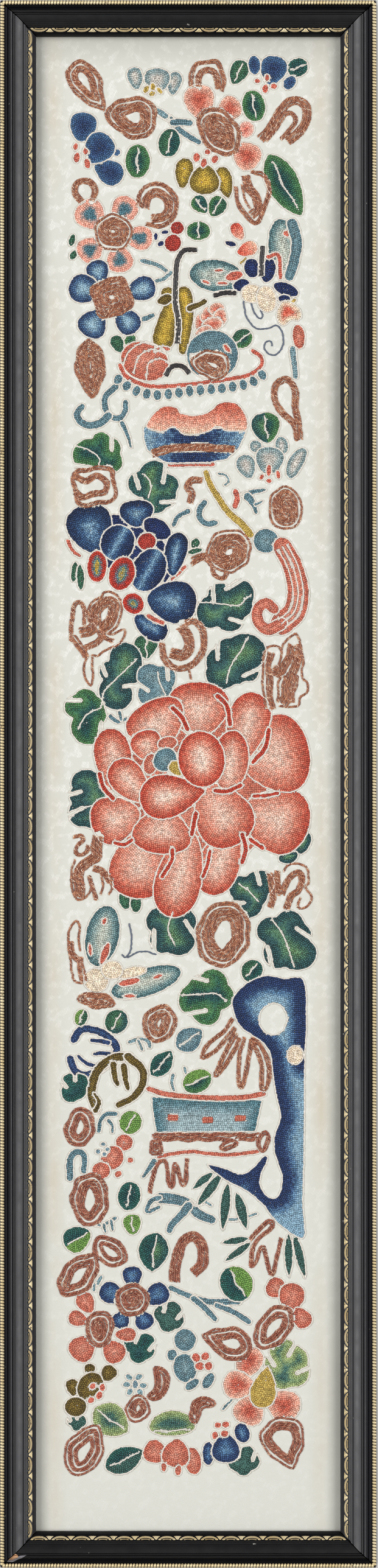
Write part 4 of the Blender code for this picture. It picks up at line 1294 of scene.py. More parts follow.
PLANTER_FOOT = ((260, 1901), (293, 1895), (317, 1893), (341, 1896), (380, 1898), (426, 1892))
FOOT_WIDTH = 1.8


class Cord:
    """A thread laid along a line: its kind, its line in millimetres, and whether it closes on itself."""

    def __init__(self, kind, line, closed=False, thread=None):
        self.kind = kind
        self.line = line
        self.closed = closed
        self.thread = thread


def petal_fields(rows, kind):
    """Fields from rows of a shape, its place, its sizes, its turn and bend, and its shade."""
    fields = []
    for *place, shade in rows:
        outline, middle = motif(*place)
        fields.append(Field(outline, kind, shade, middle=middle))
    return fields


def flower_fields():
    """Petals, fruit and seeds, then their turned-over edges."""
    edges = [Field(ribbon(path, width), "flowers", shade) for shade, width, path in TURNED_EDGES]
    return petal_fields(PETALS, "flowers") + edges


def leaf_fields():
    """Two-sided leaves, cut leaves and bamboo."""
    fields = []
    for *place, left, right in LEAVES:
        outline, middle = motif(*place)
        fields.append(Field(outline, "leaves", left, middle=middle, other=right))
    for px, py, core, shade, swirl, slots, lobes in CUT_LEAVES:
        fields.append(Field(lobed(px, py, core, swirl, slots, lobes), "leaves", shade))
    for width, *ends in BAMBOO:
        foot, tip = spots(ends)
        span = tip - foot
        length = float(np.linalg.norm(span))
        local = local_outline("leaf", length * BAMBOO_REACH, width * BAMBOO_BREADTH)
        axes = np.array((span, (-span[1], span[0]))) / length
        fields.append(Field(local @ axes + (foot + tip) / 2, "leaves", "sage"))
    return fields


def stem_fields():
    """Stems and twigs."""
    return [Field(ribbon(path, width, end_width), "leaves", shade) for shade, width, end_width, path in STEMS]


def coil_fields():
    """Places for rows of couched copper, which have no cord of their own round them."""
    return [Field(motif(*place)[0], "coils", thread, cord=False, rows=rows) for *place, rows, thread in COILS]


def opening_fields():
    """Bare places, which are left without knots."""
    return [Field(motif(*place)[0], "bare", None) for place in OPENINGS]


def figure_fields():
    """The bowl, butterflies, the tassel and the scallops of the dish."""
    fields = [Field(spots(BOWL_BODY), "figures", "bowl")]
    fields.append(Field(smooth(spots(BOWL_COLLAR), True), "figures", "collar"))
    fields += petal_fields(FIGURES, "figures")
    for shade, width, end_width, path in BANDS:
        fields.append(Field(ribbon(path, width, end_width), "figures", shade))
    line = line_along(DISH_SCALLOPS, DISH_SCALLOP_STEP)
    for place, (run, rise) in zip(line, headings(line)):
        local = local_outline("oval", *DISH_SCALLOP_SIZE)
        fields.append(Field(local @ axes_of(math.atan2(rise, run)) + place, "figures", "teal"))
    return fields


def rock_and_planter():
    """The scholar's rock, and the planter with its panels, rim and foot."""
    dark = spots(ROCK_DARK_EDGE)
    outline = smooth(np.vstack([dark, spots(ROCK_PALE_EDGE)]), True)
    corners = spots(PLANTER)
    fields = [
        Field(outline, "figures", "rock", dark_edge=dark),
        Field(corners, "figures", "planter", dark_edge=corners),
    ]
    for px, py in PLANTER_PANELS:
        fields.append(Field(motif("box", px, py, *PANEL_SIZE, 0)[0], "figures", "coral", cord=False))
    fields.append(Field(ribbon(PLANTER_RIM, RIM_WIDTH), "figures", "coral"))
    fields.append(Field(ribbon(PLANTER_FOOT, FOOT_WIDTH), "figures", "coral"))
    return fields


def whole_plan():
    """Every field of the band, the lower ones first."""
    return (
        stem_fields() + leaf_fields() + flower_fields() + rock_and_planter() + figure_fields()
        + coil_fields() + opening_fields()
    )


def vein_lines(fields):
    """The couched veins of the two-sided leaves."""
    lines = []
    for field in fields:
        if field.other:
            foot = len(field.middle) // 8
            line = resampled(smooth(field.middle[foot:-1], False), LINE_STEP, False)
            along = np.linspace(0, 1, len(line))
            sway = (VEIN_SWAY_X * np.sin(VEIN_WAVES_X * along), VEIN_SWAY_Y * np.cos(VEIN_WAVES_Y * along))
            lines.append(line + np.column_stack(sway))
    return lines


def beside(line, offsets):
    """The lines at some distances to the left of a line, or to its right below zero."""
    return [line + sideways(line) * offset for offset in offsets]


class Work:
    """All the stitches of the band, worked out once from the plan."""

    def __init__(self, pitch, seed):
        self.chance = np.random.default_rng(seed)
        self.pitch = pitch
        self.plan = whole_plan()
        self.cords = []
        self.knots = {}
        self.copper = []
        veins = vein_lines(self.plan)
        strokes = []
        for kind, path in LINES:
            line = line_along(path, LINE_STEP)
            if kind == "white":
                veins.append(line)
            else:
                strokes.append(Cord(kind, line))
            if kind == "black":
                self.cords += [Cord("white", edge) for edge in beside(line, (-SATIN_EDGE, SATIN_EDGE))]
        veins += beside(line_along(BANDS[0][3], LINE_STEP), TASSEL_LINES)
        laid = [
            (thread, cords, line_along(path, OUTLINE_STEP))
            for thread, rows in (("copper", COPPER_STROKES), ("red copper", RED_COPPER_STROKES))
            for cords, path in rows
        ]
        lines_over = [(line, LINE_CLEARANCE) for line in veins]
        lines_over += [(line, STROKE_CLEARANCE + cords * COIL_STEP / 2) for _, cords, line in laid]
        lines_over += [(cord.line, SATIN_CLEARANCE) for cord in strokes if cord.kind == "black"]
        for index, field in enumerate(self.plan):
            if field.kind == "coils":
                self.lay_coil(index, field)
                continue
            if field.cord:
                self.edge_field(index, field)
            if field.shade:
                self.tie_field(index, field, lines_over)
        self.cords += [Cord("white", line) for line in veins] + strokes
        for thread, cords, line in laid:
            self.lay_stroke(thread, cords, line)

    def above(self, index, points, clearance):
        """Whether each point lies under a field that comes later in the plan."""
        hidden = np.zeros(len(points), dtype=bool)
        for field in self.plan[index + 1:]:
            if not hidden.all():
                edged = field.cord or field.kind == "coils"
                hidden |= field.covers(points, clearance if edged else BARE_CLEARANCE)
        return hidden

    def edge_field(self, index, field):
        """The white cord round a field, left out where a later field covers it."""
        pieces, whole = runs(field.outline, ~self.above(index, field.outline, 0.0), ROW_BREAK)
        self.cords += [Cord("white", piece, whole) for piece in pieces]

    def tie_field(self, index, field, lines_over):
        """The knots of a field, left out where a later field or a laid line covers them."""
        places = knot_places(field, self.pitch)
        if not len(places):
            return
        colours = field_colours(field, places, self.chance)
        hidden = self.above(index, places, LAYER_CLEARANCE)
        for line, clearance in lines_over:
            near = (np.abs(places - line.mean(axis=0)) < FARTHEST_LINE).all(axis=1)
            if near.any():
                hidden[near] |= distances(places[near], line, False) < clearance
        places = places + self.chance.normal(0, KNOT_JITTER, places.shape)
        knots = [(*place, *colour) for place, colour in zip(places[~hidden], colours[~hidden])]
        self.knots.setdefault(field.kind, []).extend(knots)

    def lay_stroke(self, thread, cords, line):
        """Cords side by side along a path, each left out where the path bends too tightly for it."""
        offsets = [(k - (cords - 1) / 2) * COIL_STEP for k in range(cords)]
        for offset, cord in zip(offsets, beside(line, offsets)):
            keep = distances(cord, line, False) > abs(offset) - ROW_TOLERANCE
            pieces, whole = runs(cord, keep, STROKE_BREAK)
            self.copper += [Cord("copper", piece, whole, thread) for piece in pieces]

    def lay_coil(self, index, field):
        """Rings of cord from a coil's outline inwards, each a little uneven."""
        depth = COIL_FIRST
        for mark in field.rows:
            if mark == ".":
                depth += COIL_GAP
                continue
            ring, keep = drawn_in(field.outline, depth)
            depth += COIL_STEP
            keep &= ~self.above(index, ring, COIL_CLEARANCE)
            x, y = ring.T
            sway = (np.sin(COIL_WAVE_UP * y + COIL_WAVE_ACROSS * x), np.sin(COIL_WAVE_DOWN * x + index))
            ring = ring + COIL_SWAY * np.column_stack(sway)
            pieces, whole = runs(ring, keep, COIL_BREAK)
            self.copper += [Cord("copper", piece, whole, field.shade) for piece in pieces]


def feed(tree, node, values):
    """Gives a node its inputs: plain values, sockets, or nodes, which stand for their first output in use.

    A Mix node set to colours takes its share as input 0 and its two colours as inputs 6 and 7.
    """
    for key, value in values.items() if isinstance(values, dict) else enumerate(values):
        socket = node.inputs[key]
        if isinstance(value, bpy.types.Node):
            value = next(output for output in value.outputs if output.enabled)
        if isinstance(value, bpy.types.NodeSocket):
            tree.links.new(value, socket)
        elif socket.type == "RGBA" and len(value) == 3:
            socket.default_value = (*value, 1.0)
        else:
            socket.default_value = value


def add(tree, kind, values=(), **settings):
    """One node of a material or a geometry tree, with its settings, its values and its links."""
    node = tree.nodes.new(kind)
    for name, setting in settings.items():
        setattr(node, name, setting)
    feed(tree, node, values)
    return node


def growth_tree(name, inputs):
    """A new geometry tree with its named inputs, and the node that gives them."""
    tree = bpy.data.node_groups.new(name, "GeometryNodeTree")
    for way in ("INPUT", "OUTPUT"):
        tree.interface.new_socket("Geometry", in_out=way, socket_type="NodeSocketGeometry")
    for label, kind, value in inputs:
        socket = tree.interface.new_socket(label, in_out="INPUT", socket_type=f"NodeSocket{kind}")
        if value is not None:
            socket.default_value = value
    return tree, add(tree, "NodeGroupInput")


def end_tree(tree, given, shape):
    """Ends a geometry tree: its instances are made real and get their finish."""
    real = add(tree, "GeometryNodeRealizeInstances", {"Geometry": shape})
    finished = add(tree, "GeometryNodeSetMaterial", {"Geometry": real, "Material": given.outputs["Finish"]})
    add(tree, "NodeGroupOutput", {"Geometry": finished})
    return tree


def scatter_tree():
    """A tree that sets one stitch on every point, by the point's own turn and size, and keeps its colour."""
    tree, given = growth_tree("stitches on points", (
        # name, kind, value
        ("Stitch", "Object", None),
        ("Width", "Float", 0.001),
        ("Finish", "Material", None),
    ))
    stitch = add(tree, "GeometryNodeObjectInfo", {"Object": given.outputs["Stitch"]})
    turn = add(tree, "GeometryNodeInputNamedAttribute", {"Name": "turn"}, data_type="FLOAT")
    size = add(tree, "GeometryNodeInputNamedAttribute", {"Name": "size"}, data_type="FLOAT")
    scattered = add(tree, "GeometryNodeInstanceOnPoints", {
        "Points": given.outputs["Geometry"],
        "Instance": stitch.outputs["Geometry"],
        "Rotation": add(tree, "ShaderNodeCombineXYZ", {"Z": turn}),
        "Scale": add(tree, "ShaderNodeMath", (size, given.outputs["Width"]), operation="MULTIPLY"),
    })
    return end_tree(tree, given, scattered)


def thread_tree():
    """A tree that makes a round thread along every line, pinched where a stitch ties it down."""
    tree, given = growth_tree("thread along lines", (
        # name, kind, value
        ("Thickness", "Float", 0.0005),
        ("Sides", "Int", 5),
        ("Finish", "Material", None),
    ))
    lines = add(tree, "GeometryNodeMeshToCurve", {"Mesh": given.outputs["Geometry"]})
    width = add(tree, "GeometryNodeInputNamedAttribute", {"Name": "size"}, data_type="FLOAT")
    half = add(tree, "ShaderNodeMath", (given.outputs["Thickness"], 0.5), operation="MULTIPLY")
    section = add(tree, "GeometryNodeCurvePrimitiveCircle", {
        "Resolution": given.outputs["Sides"],
        "Radius": half,
    })
    tube = add(tree, "GeometryNodeCurveToMesh", {
        "Curve": add(tree, "GeometryNodeSetCurveRadius", {"Curve": lines, "Radius": width}),
        "Profile Curve": section,
        "Scale": width,
        "Fill Caps": True,
    })
    return end_tree(tree, given, add(tree, "GeometryNodeSetShadeSmooth", {"Geometry": tube}))


def new_piece(name, mesh):
    """A new object of a mesh, in the scene."""
    piece = bpy.data.objects.new(name, mesh)
    bpy.context.collection.objects.link(piece)
    return piece


def shaped_piece(name, shape):
    """A new object of a shape made with bmesh, which is freed."""
    mesh = bpy.data.meshes.new(name)
    shape.to_mesh(mesh)
    shape.free()
    return new_piece(name, mesh)


def grown(name, mesh, tree, **values):
    """The mesh that a geometry tree makes of another mesh, as a finished piece."""
    piece = new_piece(name, mesh)
    growth = piece.modifiers.new("growth", "NODES")
    growth.node_group = tree
    for item in tree.interface.items_tree:
        if item.in_out == "INPUT" and item.name in values:
            growth[item.identifier] = values[item.name]
    graph = bpy.context.evaluated_depsgraph_get()
    made = bpy.data.meshes.new_from_object(piece.evaluated_get(graph))
    piece.modifiers.clear()
    piece.data = made
    made.name = name
    return piece


def swayed(line, closed, chance):
    """The same line, straying a little to both sides as a hand-laid cord does."""
    line = resampled(line, SWAY_STEP, closed)
    draws = chance.normal(0, 1, len(line) + SWAY_POINTS - 1)
    stray = np.convolve(draws, np.ones(SWAY_POINTS) / SWAY_POINTS, mode="valid")
    return line + sideways(line) * stray[:, None] * COPPER_STRAY


def points_mesh(rows):
    """Loose points with a turn, a size and a colour each, from rows of x, y, z, turn, size and colour."""
    mesh = bpy.data.meshes.new("points")
    mesh.from_pydata([row[:3] for row in rows], [], [])
    for place, name in ((3, "turn"), (4, "size")):
        mesh.attributes.new(name, "FLOAT", "POINT").data.foreach_set("value", [row[place] for row in rows])
    colour = mesh.attributes.new("floss", "FLOAT_COLOR", "POINT")
    colour.data.foreach_set("color", [value for row in rows for value in (*row[5:8], 1.0)])
    return mesh


def lines_mesh(cords, height, chance, step=THREAD_STEP):
    """Lines of points for laid threads, each a little uneven and pinched at every other point."""
    mesh = bpy.data.meshes.new("lines")
    places = []
    edges = []
    sizes = []
    for cord in cords:
        line = resampled(cord.line, step, cord.closed)
        if len(line) < 3:
            continue
        start = len(places)
        wander = chance.normal(0, THREAD_WANDER, line.shape)
        for i, (x, y) in enumerate(line + wander):
            places.append((x * MM, y * MM, (height + (THREAD_LIFT if i % 2 else 0.0)) * MM))
            sizes.append(FREE_SIZE if i % 2 else TIED_SIZE)
            if i:
                edges.append((start + i - 1, start + i))
        if cord.closed:
            edges.append((start + len(line) - 1, start))
    mesh.from_pydata(places, edges, [])
    mesh.attributes.new("size", "FLOAT", "POINT").data.foreach_set("value", sizes)
    return mesh


def lump(name, rings, sides, top, base=None):
    """A closed lump turned from rings of radius and height, pointed on top, and at its base if given."""
    shape = bmesh.new()
    loops = []
    for radius, height in rings:
        angles = [2 * math.pi * i / sides for i in range(sides)]
        loops.append([shape.verts.new((radius * math.cos(a), radius * math.sin(a), height)) for a in angles])
    for low, high in zip(loops, loops[1:]):
        for i in range(sides):
            follow = (i + 1) % sides
            shape.faces.new((low[i], low[follow], high[follow], high[i]))
    for loop, height, order in ((loops[0], base, -1), (loops[-1], top, 1)):
        if height is None:
            shape.faces.new(loop[::order])
            continue
        tip = shape.verts.new((0, 0, height))
        for i in range(sides):
            corners = (loop[i], loop[(i + 1) % sides], tip)
            shape.faces.new(corners[::order])
    for face in shape.faces:
        face.smooth = True
    return shaped_piece(name, shape)


def seed_knot():
    """One seed knot, a small bead of floss a little longer than it is wide, in shares of the knots' pitch."""
    knot = lump("seed_knot", rings=((0.84, -0.05),), sides=7, top=0.42)
    for vertex in knot.data.vertices:
        vertex.co.x *= KNOT_LENGTH
        vertex.co.y *= KNOT_BREADTH
    return knot


def cord_grain():
    """One winding of a twisted copper cord: a grain that slants across the cord, in shares of its width."""
    grain = lump("cord_grain", rings=((0.30, -0.30), (0.34, 0.22)), sides=4, top=0.62, base=-0.62)
    for vertex in grain.data.vertices:
        across, rise, along = vertex.co
        x = along * GRAIN_LENGTH + across * GRAIN_TWIST
        y = across * GRAIN_BREADTH + along * GRAIN_SLANT
        vertex.co = (x, y, rise * GRAIN_HEIGHT + GRAIN_LIFT)
    return grain


def gilt_bead():
    """One bead of the outer edge, in millimetres, a short lozenge that leans along the rail."""
    bead = lump("bead", rings=((0.62, -0.40), (0.57, 0.14)), sides=8, top=0.44)
    for vertex in bead.data.vertices:
        vertex.co = (vertex.co.x + vertex.co.y * BEAD_LEAN, vertex.co.y * BEAD_BREADTH, vertex.co.z)
    return bead


def per_metre(size):
    """How often a pattern of a size in millimetres repeats in a metre, which a texture's scale is set to."""
    return 1 / (size * MM)


def finish_of(name):
    """A new material with its tree, its shader, and its object coordinates in metres."""
    finish = bpy.data.materials.new(name)
    finish.use_nodes = True
    tree = finish.node_tree
    return finish, tree, tree.nodes["Principled BSDF"], add(tree, "ShaderNodeTexCoord").outputs["Object"]


def stain(tree, x, middle, half_width, depth):
    """A soft band along the cloth: its depth at its middle line, nothing past its half width."""
    offset = add(tree, "ShaderNodeMath", (x, middle * MM), operation="SUBTRACT")
    away = add(tree, "ShaderNodeMath", (offset,), operation="ABSOLUTE")
    share = add(tree, "ShaderNodeMapRange", (away, 0.0, half_width * MM, 1.0, 0.0))
    return add(tree, "ShaderNodeMath", (share, depth), operation="MULTIPLY")


def damask_finish(name, sizes, colours):
    """Silk damask, woven ivory on ivory: matt ground, floats painted paler as sheen, and painted shadow by the
    rails.
    """
    finish, tree, shader, where = finish_of(name)
    x, y, _ = add(tree, "ShaderNodeSeparateXYZ", {0: where}).outputs
    # Floats of the weave, too fine to show and so drawn coarser: long narrow bricks at the slant of the twill
    slanted = add(tree, "ShaderNodeMapping", {0: where, "Rotation": (0, 0, math.radians(-sizes.float_slant))})
    bricks = add(tree, "ShaderNodeTexBrick", {
        "Vector": slanted,
        "Scale": 1.0,
        "Color1": (1, 1, 1),
        "Color2": (0.35, 0.35, 0.35),
        "Mortar": (0, 0, 0),
        "Mortar Size": FLOAT_GAP * MM,
        "Mortar Smooth": 1.0,
        "Brick Width": sizes.float_length,
        "Row Height": sizes.float_length * FLOAT_BREADTH,
    })
    clusters = add(tree, "ShaderNodeTexNoise", {0: where, "Scale": per_metre(FLOAT_CLUSTER), "Detail": 1.5})
    fine = add(tree, "ShaderNodeTexNoise", {0: where, "Scale": per_metre(WEAVE_GRAIN), "Detail": 3.0})
    upper = add(tree, "ShaderNodeMapRange", (y, -0.22, 0.02, 0.25, 1.0))
    patch = add(tree, "ShaderNodeMapRange", (clusters, 0.50, 0.60))
    patched = add(tree, "ShaderNodeMath", (bricks, patch), operation="MULTIPLY")
    # The floats are painted paler below as their sheen, stronger towards the top; they also raise the bump
    floats = add(tree, "ShaderNodeMath", (patched, upper), operation="MULTIPLY")
    raised = add(tree, "ShaderNodeMath", (floats, 0.35), operation="MULTIPLY")
    relief = add(tree, "ShaderNodeMath", (raised, fine), operation="ADD")
    # Tan stains where the band was folded; painted rail shadow: darker towards the rails, most under the top
    # one
    wander = add(tree, "ShaderNodeTexNoise", {
        0: where, "Scale": per_metre(FOLD_BLOTCH), "Detail": 5.0, "Roughness": 0.62,
    })
    blotch = add(tree, "ShaderNodeMapRange", (wander, 0.35, 0.7))
    folds = add(tree, "ShaderNodeMath", (
        stain(tree, x, middle=-50.0, half_width=5.0, depth=0.55),
        stain(tree, x, middle=49.5, half_width=5.5, depth=0.45),
    ), operation="ADD")
    tan = add(tree, "ShaderNodeMath", (folds, blotch), operation="MULTIPLY")
    away = add(tree, "ShaderNodeMath", (x,), operation="ABSOLUTE")
    # Painted shadow of the rails on the silk, near the sight edges and under the top rail
    edge = add(tree, "ShaderNodeMath", (
        add(tree, "ShaderNodeMapRange", (away, 0.0515, 0.0560)),
        add(tree, "ShaderNodeMapRange", (wander, 0.2, 0.65, 0.35, 0.8)),
    ), operation="MULTIPLY")
    top = add(tree, "ShaderNodeMapRange", (y, 0.2660, 0.2790, 0.0, 0.75))
    edge = add(tree, "ShaderNodeMath", (edge, top), operation="MAXIMUM")
    colour = colours.silk_ground
    for share, over in ((floats, colours.silk_float_sheen), (tan, colours.silk_fold), (edge, colours.silk_rail_shadow)):
        colour = add(tree, "ShaderNodeMix", {0: share, 6: colour, 7: over}, data_type="RGBA")
    feed(tree, shader, {
        "Base Color": colour,
        "Roughness": 0.62,
        "Sheen Weight": 0.25,
        "Sheen Roughness": 0.4,
        "Specular IOR Level": 0.35,
        "Normal": add(tree, "ShaderNodeBump", {"Height": relief, "Strength": 0.4, "Distance": 0.14 * MM}),
    })
    return finish


def floss_finish(name, face):
    """Untwisted silk floss, dyed and knotted: a soft gloss, painted shade between the knots, painted highlight
    on top.
    """
    finish, tree, shader, where = finish_of(name)
    dye = add(tree, "ShaderNodeAttribute", attribute_name="floss", attribute_type="GEOMETRY")
    height = add(tree, "ShaderNodeSeparateXYZ", {0: where}).outputs["Z"]
    # Painted shade and highlight: from the gap shade at the knots' foot to the lit tone at their crests
    share = add(tree, "ShaderNodeMapRange", (height, (face + KNOT_FOOT) * MM, (face + KNOT_CREST) * MM))
    gap_shade = add(tree, "ShaderNodeVectorMath", (dye, GAP_SLOPE, GAP_LEVEL), operation="MULTIPLY_ADD")
    shadow, light = (
        add(tree, "ShaderNodeMix", {0: 1.0, 6: dye, 7: tint}, data_type="RGBA", blend_type="MULTIPLY")
        for tint in (gap_shade, CREST_LIGHT)
    )
    strands = add(tree, "ShaderNodeTexNoise", {0: where, "Scale": per_metre(FLOSS_STRAND), "Detail": 2.0})
    feed(tree, shader, {
        "Base Color": add(tree, "ShaderNodeMix", {0: share, 6: shadow, 7: light}, data_type="RGBA"),
        "Roughness": 0.48,
        "Sheen Weight": 0.2,
        "Sheen Roughness": 0.35,
        "Specular IOR Level": 0.45,
        "Normal": add(tree, "ShaderNodeBump", {"Height": strands, "Strength": 0.45, "Distance": 0.12 * MM}),
    })
    return finish


def couching_finish(name, colours):
    """White silk cord, twisted and tied down: chalky, with the grain of its plies painted in light and shade.
    """
    finish, tree, shader, where = finish_of(name)
    plies = add(tree, "ShaderNodeTexNoise", {0: where, "Scale": per_metre(CORD_PLY), "Detail": 2.0})
    # Painted shade and light: the cord's shaded and lit colours mixed by its plies
    share = add(tree, "ShaderNodeMapRange", (plies, 0.35, 0.65))
    feed(tree, shader, {
        "Base Color": add(tree, "ShaderNodeMix", {0: share, 6: colours.cord_shade, 7: colours.cord},
                          data_type="RGBA"),
        "Roughness": 0.6,
        "Sheen Weight": 0.3,
        "Sheen Roughness": 0.4,
        "Normal": add(tree, "ShaderNodeBump", {"Height": plies, "Strength": 0.6, "Distance": 0.2 * MM}),
    })
    return finish


def satin_finish(name, colour):
    """Floss laid flat in fine strands: glossy, with paler glints painted along them as highlight."""
    finish, tree, shader, where = finish_of(name)
    strands = add(tree, "ShaderNodeTexNoise", {0: where, "Scale": per_metre(SATIN_STRAND), "Detail": 2.0})
    share = add(tree, "ShaderNodeMapRange", (strands, 0.4, 0.7))
    # Painted highlight: paler glints mixed into the colour along the strands
    painted_glint = add(tree, "ShaderNodeMix", {0: share, 6: colour, 7: hex_colour("#8C7F78")}, data_type="RGBA")
    feed(tree, shader, {
        "Base Color": add(tree, "ShaderNodeMix", {0: 0.3, 6: colour, 7: painted_glint}, data_type="RGBA"),
        "Roughness": 0.38,
        "Sheen Weight": 0.15,
        "Normal": add(tree, "ShaderNodeBump", {"Height": strands, "Strength": 0.5, "Distance": 0.12 * MM}),
    })
    return finish


def copper_finish(name):
    """Thread wound with copper-coloured foil on a red silk core: dull metal glints on warm brown."""
    finish, tree, shader, where = finish_of(name)
    windings = add(tree, "ShaderNodeTexNoise", {0: where, "Scale": per_metre(FOIL_CREASE), "Detail": 1.0})
    feed(tree, shader, {
        "Base Color": add(tree, "ShaderNodeAttribute", attribute_name="floss", attribute_type="GEOMETRY"),
        "Roughness": 0.42,
        "Metallic": 0.35,
        "Normal": add(tree, "ShaderNodeBump", {"Height": windings, "Strength": 0.5, "Distance": 0.12 * MM}),
    })
    return finish


def within(tree, where, corners):
    """One inside a convex outline on the frame's face, given clockwise, nothing past its soft edge."""
    least = None
    for (x0, y0), (x1, y1) in zip(corners, corners[1:] + corners[:1]):
        length = math.hypot(x1 - x0, y1 - y0)
        inward = ((y1 - y0) / length, (x0 - x1) / length, 0)
        level = (inward[0] * x0 + inward[1] * y0) * MM
        dot = add(tree, "ShaderNodeVectorMath", (where, inward), operation="DOT_PRODUCT")
        depth = add(tree, "ShaderNodeMath", (dot, level), operation="SUBTRACT")
        least = depth if least is None else add(tree, "ShaderNodeMath", (least, depth), operation="MINIMUM")
    return add(tree, "ShaderNodeMapRange", (least, 0.0, CHIP_SOFTNESS * MM))


def lacquer_finish(name, ground, gloss, chipped):
    """Black lacquer sprayed on a wooden moulding: a gloss on its high members, specks of dust, a chip."""
    finish, tree, shader, where = finish_of(name)
    height = add(tree, "ShaderNodeSeparateXYZ", {0: where}).outputs["Z"]
    dust = add(tree, "ShaderNodeTexNoise", {0: where, "Scale": per_metre(DUST_SPECK), "Detail": 2.0})
    speck = add(tree, "ShaderNodeMapRange", (dust, 0.765, 0.785))
    colour = add(tree, "ShaderNodeMix", {0: speck, 6: hex_colour(ground), 7: hex_colour("#8D8A84")},
                 data_type="RGBA")
    streaks = add(tree, "ShaderNodeTexNoise", {0: where, "Scale": per_metre(RUBBED_STREAK), "Detail": 3.0})
    rough = add(tree, "ShaderNodeMapRange", (streaks, 0.3, 0.7, 0.40, 0.52))
    if chipped:
        grain = add(tree, "ShaderNodeTexNoise", {0: where, "Scale": per_metre(WOOD_GRAIN), "Detail": 4.0})
        left, front = (value / MM for value in CAD_BOX[0][:2])
        for corners, low, high in CHIPS:
            bare = add(tree, "ShaderNodeMix", {0: grain, 6: hex_colour(low), 7: hex_colour(high)},
                       data_type="RGBA")
            share = within(tree, where, [(x + left, y + front) for x, y in corners])
            colour = add(tree, "ShaderNodeMix", {0: share, 6: colour, 7: bare}, data_type="RGBA")
        rough = add(tree, "ShaderNodeMath", (rough, share), operation="MAXIMUM")
    feed(tree, shader, {
        "Base Color": colour,
        "Roughness": rough,
        "Specular IOR Level": add(tree, "ShaderNodeMapRange", (height, 0.0112, 0.0118, 0.12, gloss)),
    })
    return finish


def paper_finish(name, colour):
    """Matt paper that the frame lies on, a little uneven."""
    finish, tree, shader, where = finish_of(name)
    grain = add(tree, "ShaderNodeTexNoise", {0: where, "Scale": per_metre(PAPER_CLOUD), "Detail": 2.0})
    share = add(tree, "ShaderNodeMath", (grain, 0.06), operation="MULTIPLY")
    tone = add(tree, "ShaderNodeMix", {0: share, 6: colour, 7: (0.5, 0.5, 0.5)}, data_type="RGBA")
    feed(tree, shader, {"Base Color": tone, "Roughness": 0.9})
    return finish


def gilt_finish(name, colours):
    """Composition ornament, bronzed gold where it was rubbed, with painted brown shade on steep sides and
    hollows.
    """
    finish, tree, shader, where = finish_of(name)
    wear = add(tree, "ShaderNodeTexNoise", {0: where, "Scale": per_metre(GILT_WEAR), "Detail": 3.0})
    broad = add(tree, "ShaderNodeTexNoise", {0: where, "Scale": per_metre(GILT_CLOUD), "Detail": 2.0})
    normal = add(tree, "ShaderNodeNewGeometry").outputs["Normal"]
    level = add(tree, "ShaderNodeSeparateXYZ", {0: normal}).outputs["Z"]
    # Painted shade: brown where the surface faces away from straight up, on steep sides and in hollows
    facing = add(tree, "ShaderNodeMapRange", (level, 0.2, 0.72))
    rubbed = add(tree, "ShaderNodeMapRange", (wear, 0.62, 0.72, 0.0, 0.7))
    tone = add(tree, "ShaderNodeMix", {0: broad, 6: colours.gilt_shade, 7: colours.gilt}, data_type="RGBA")
    tone = add(tree, "ShaderNodeMix", {0: facing, 6: colours.gilt_side_shade, 7: tone}, data_type="RGBA")
    feed(tree, shader, {
        "Base Color": add(tree, "ShaderNodeMix", {0: rubbed, 6: tone, 7: hex_colour("#5E4424")},
                          data_type="RGBA"),
        "Metallic": 0.4,
        "Roughness": 0.36,
        "Normal": add(tree, "ShaderNodeBump", {"Height": wear, "Strength": 0.4, "Distance": 0.1 * MM}),
    })
    return finish


def gilt_rows(distance, height, pitch, first):
    """Points for an ornament that repeats along the four rails, at a distance in from the outer edge."""
    low, high = (np.array(corner[:2]) / MM for corner in CAD_BOX)
    low = low + distance
    high = high - distance
    corners = np.array(((low[0], high[1]), (high[0], high[1]), (high[0], low[1]), (low[0], low[1])))
    rows = []
    for start, end in zip(corners, np.roll(corners, -1, axis=0)):
        length = float(np.linalg.norm(end - start))
        heading = (end - start) / length
        count = round(length / pitch)
        turn = math.atan2(heading[1], heading[0])
        for i in np.arange(first, count, 1.0):
            x, y = start + heading * length * i / count
            rows.append((x * MM, y * MM, height * MM, turn, 1.0, 1.0, 1.0, 1.0))
    return rows


def ridge(shape, outer, inner, crest):
    """A closed ridge between two arcs, given as stations of place along the rail and distance inwards."""
    sections = []
    for (u0, v0), (u1, v1) in zip(outer, inner):
        middle = ((u0 + u1) / 2, (v0 + v1) / 2)
        section = []
        places = ((u0, v0), middle, (u1, v1), middle)
        for (u, v), rise in zip(places, (RIDGE_EDGE, crest, RIDGE_EDGE, RIDGE_ROOT)):
            section.append(shape.verts.new((u, -v, rise - SCALLOP_SLOPE * v)))
        sections.append(section)
    for near, far in zip(sections, sections[1:]):
        for k in range(4):
            shape.faces.new((near[k], near[k - 3], far[k - 3], far[k]))
    shape.faces.new(sections[0][::-1])
    shape.faces.new(sections[-1])


def arc(half, rise, base, count):
    """Stations of a shallow arc, bulging towards the sight edge."""
    angles = [math.pi * i / (count - 1) for i in range(count)]
    return [(half * math.cos(a), base + rise * math.sin(a)) for a in angles]


def relief(name, ridges):
    """A small ornament to set along the sight edge, from pairs of arcs and the height of each crest."""
    shape = bmesh.new()
    for outer, inner, crest in ridges:
        ridge(shape, outer, inner, crest)
    bmesh.ops.recalc_face_normals(shape, faces=shape.faces)
    return shaped_piece(name, shape)


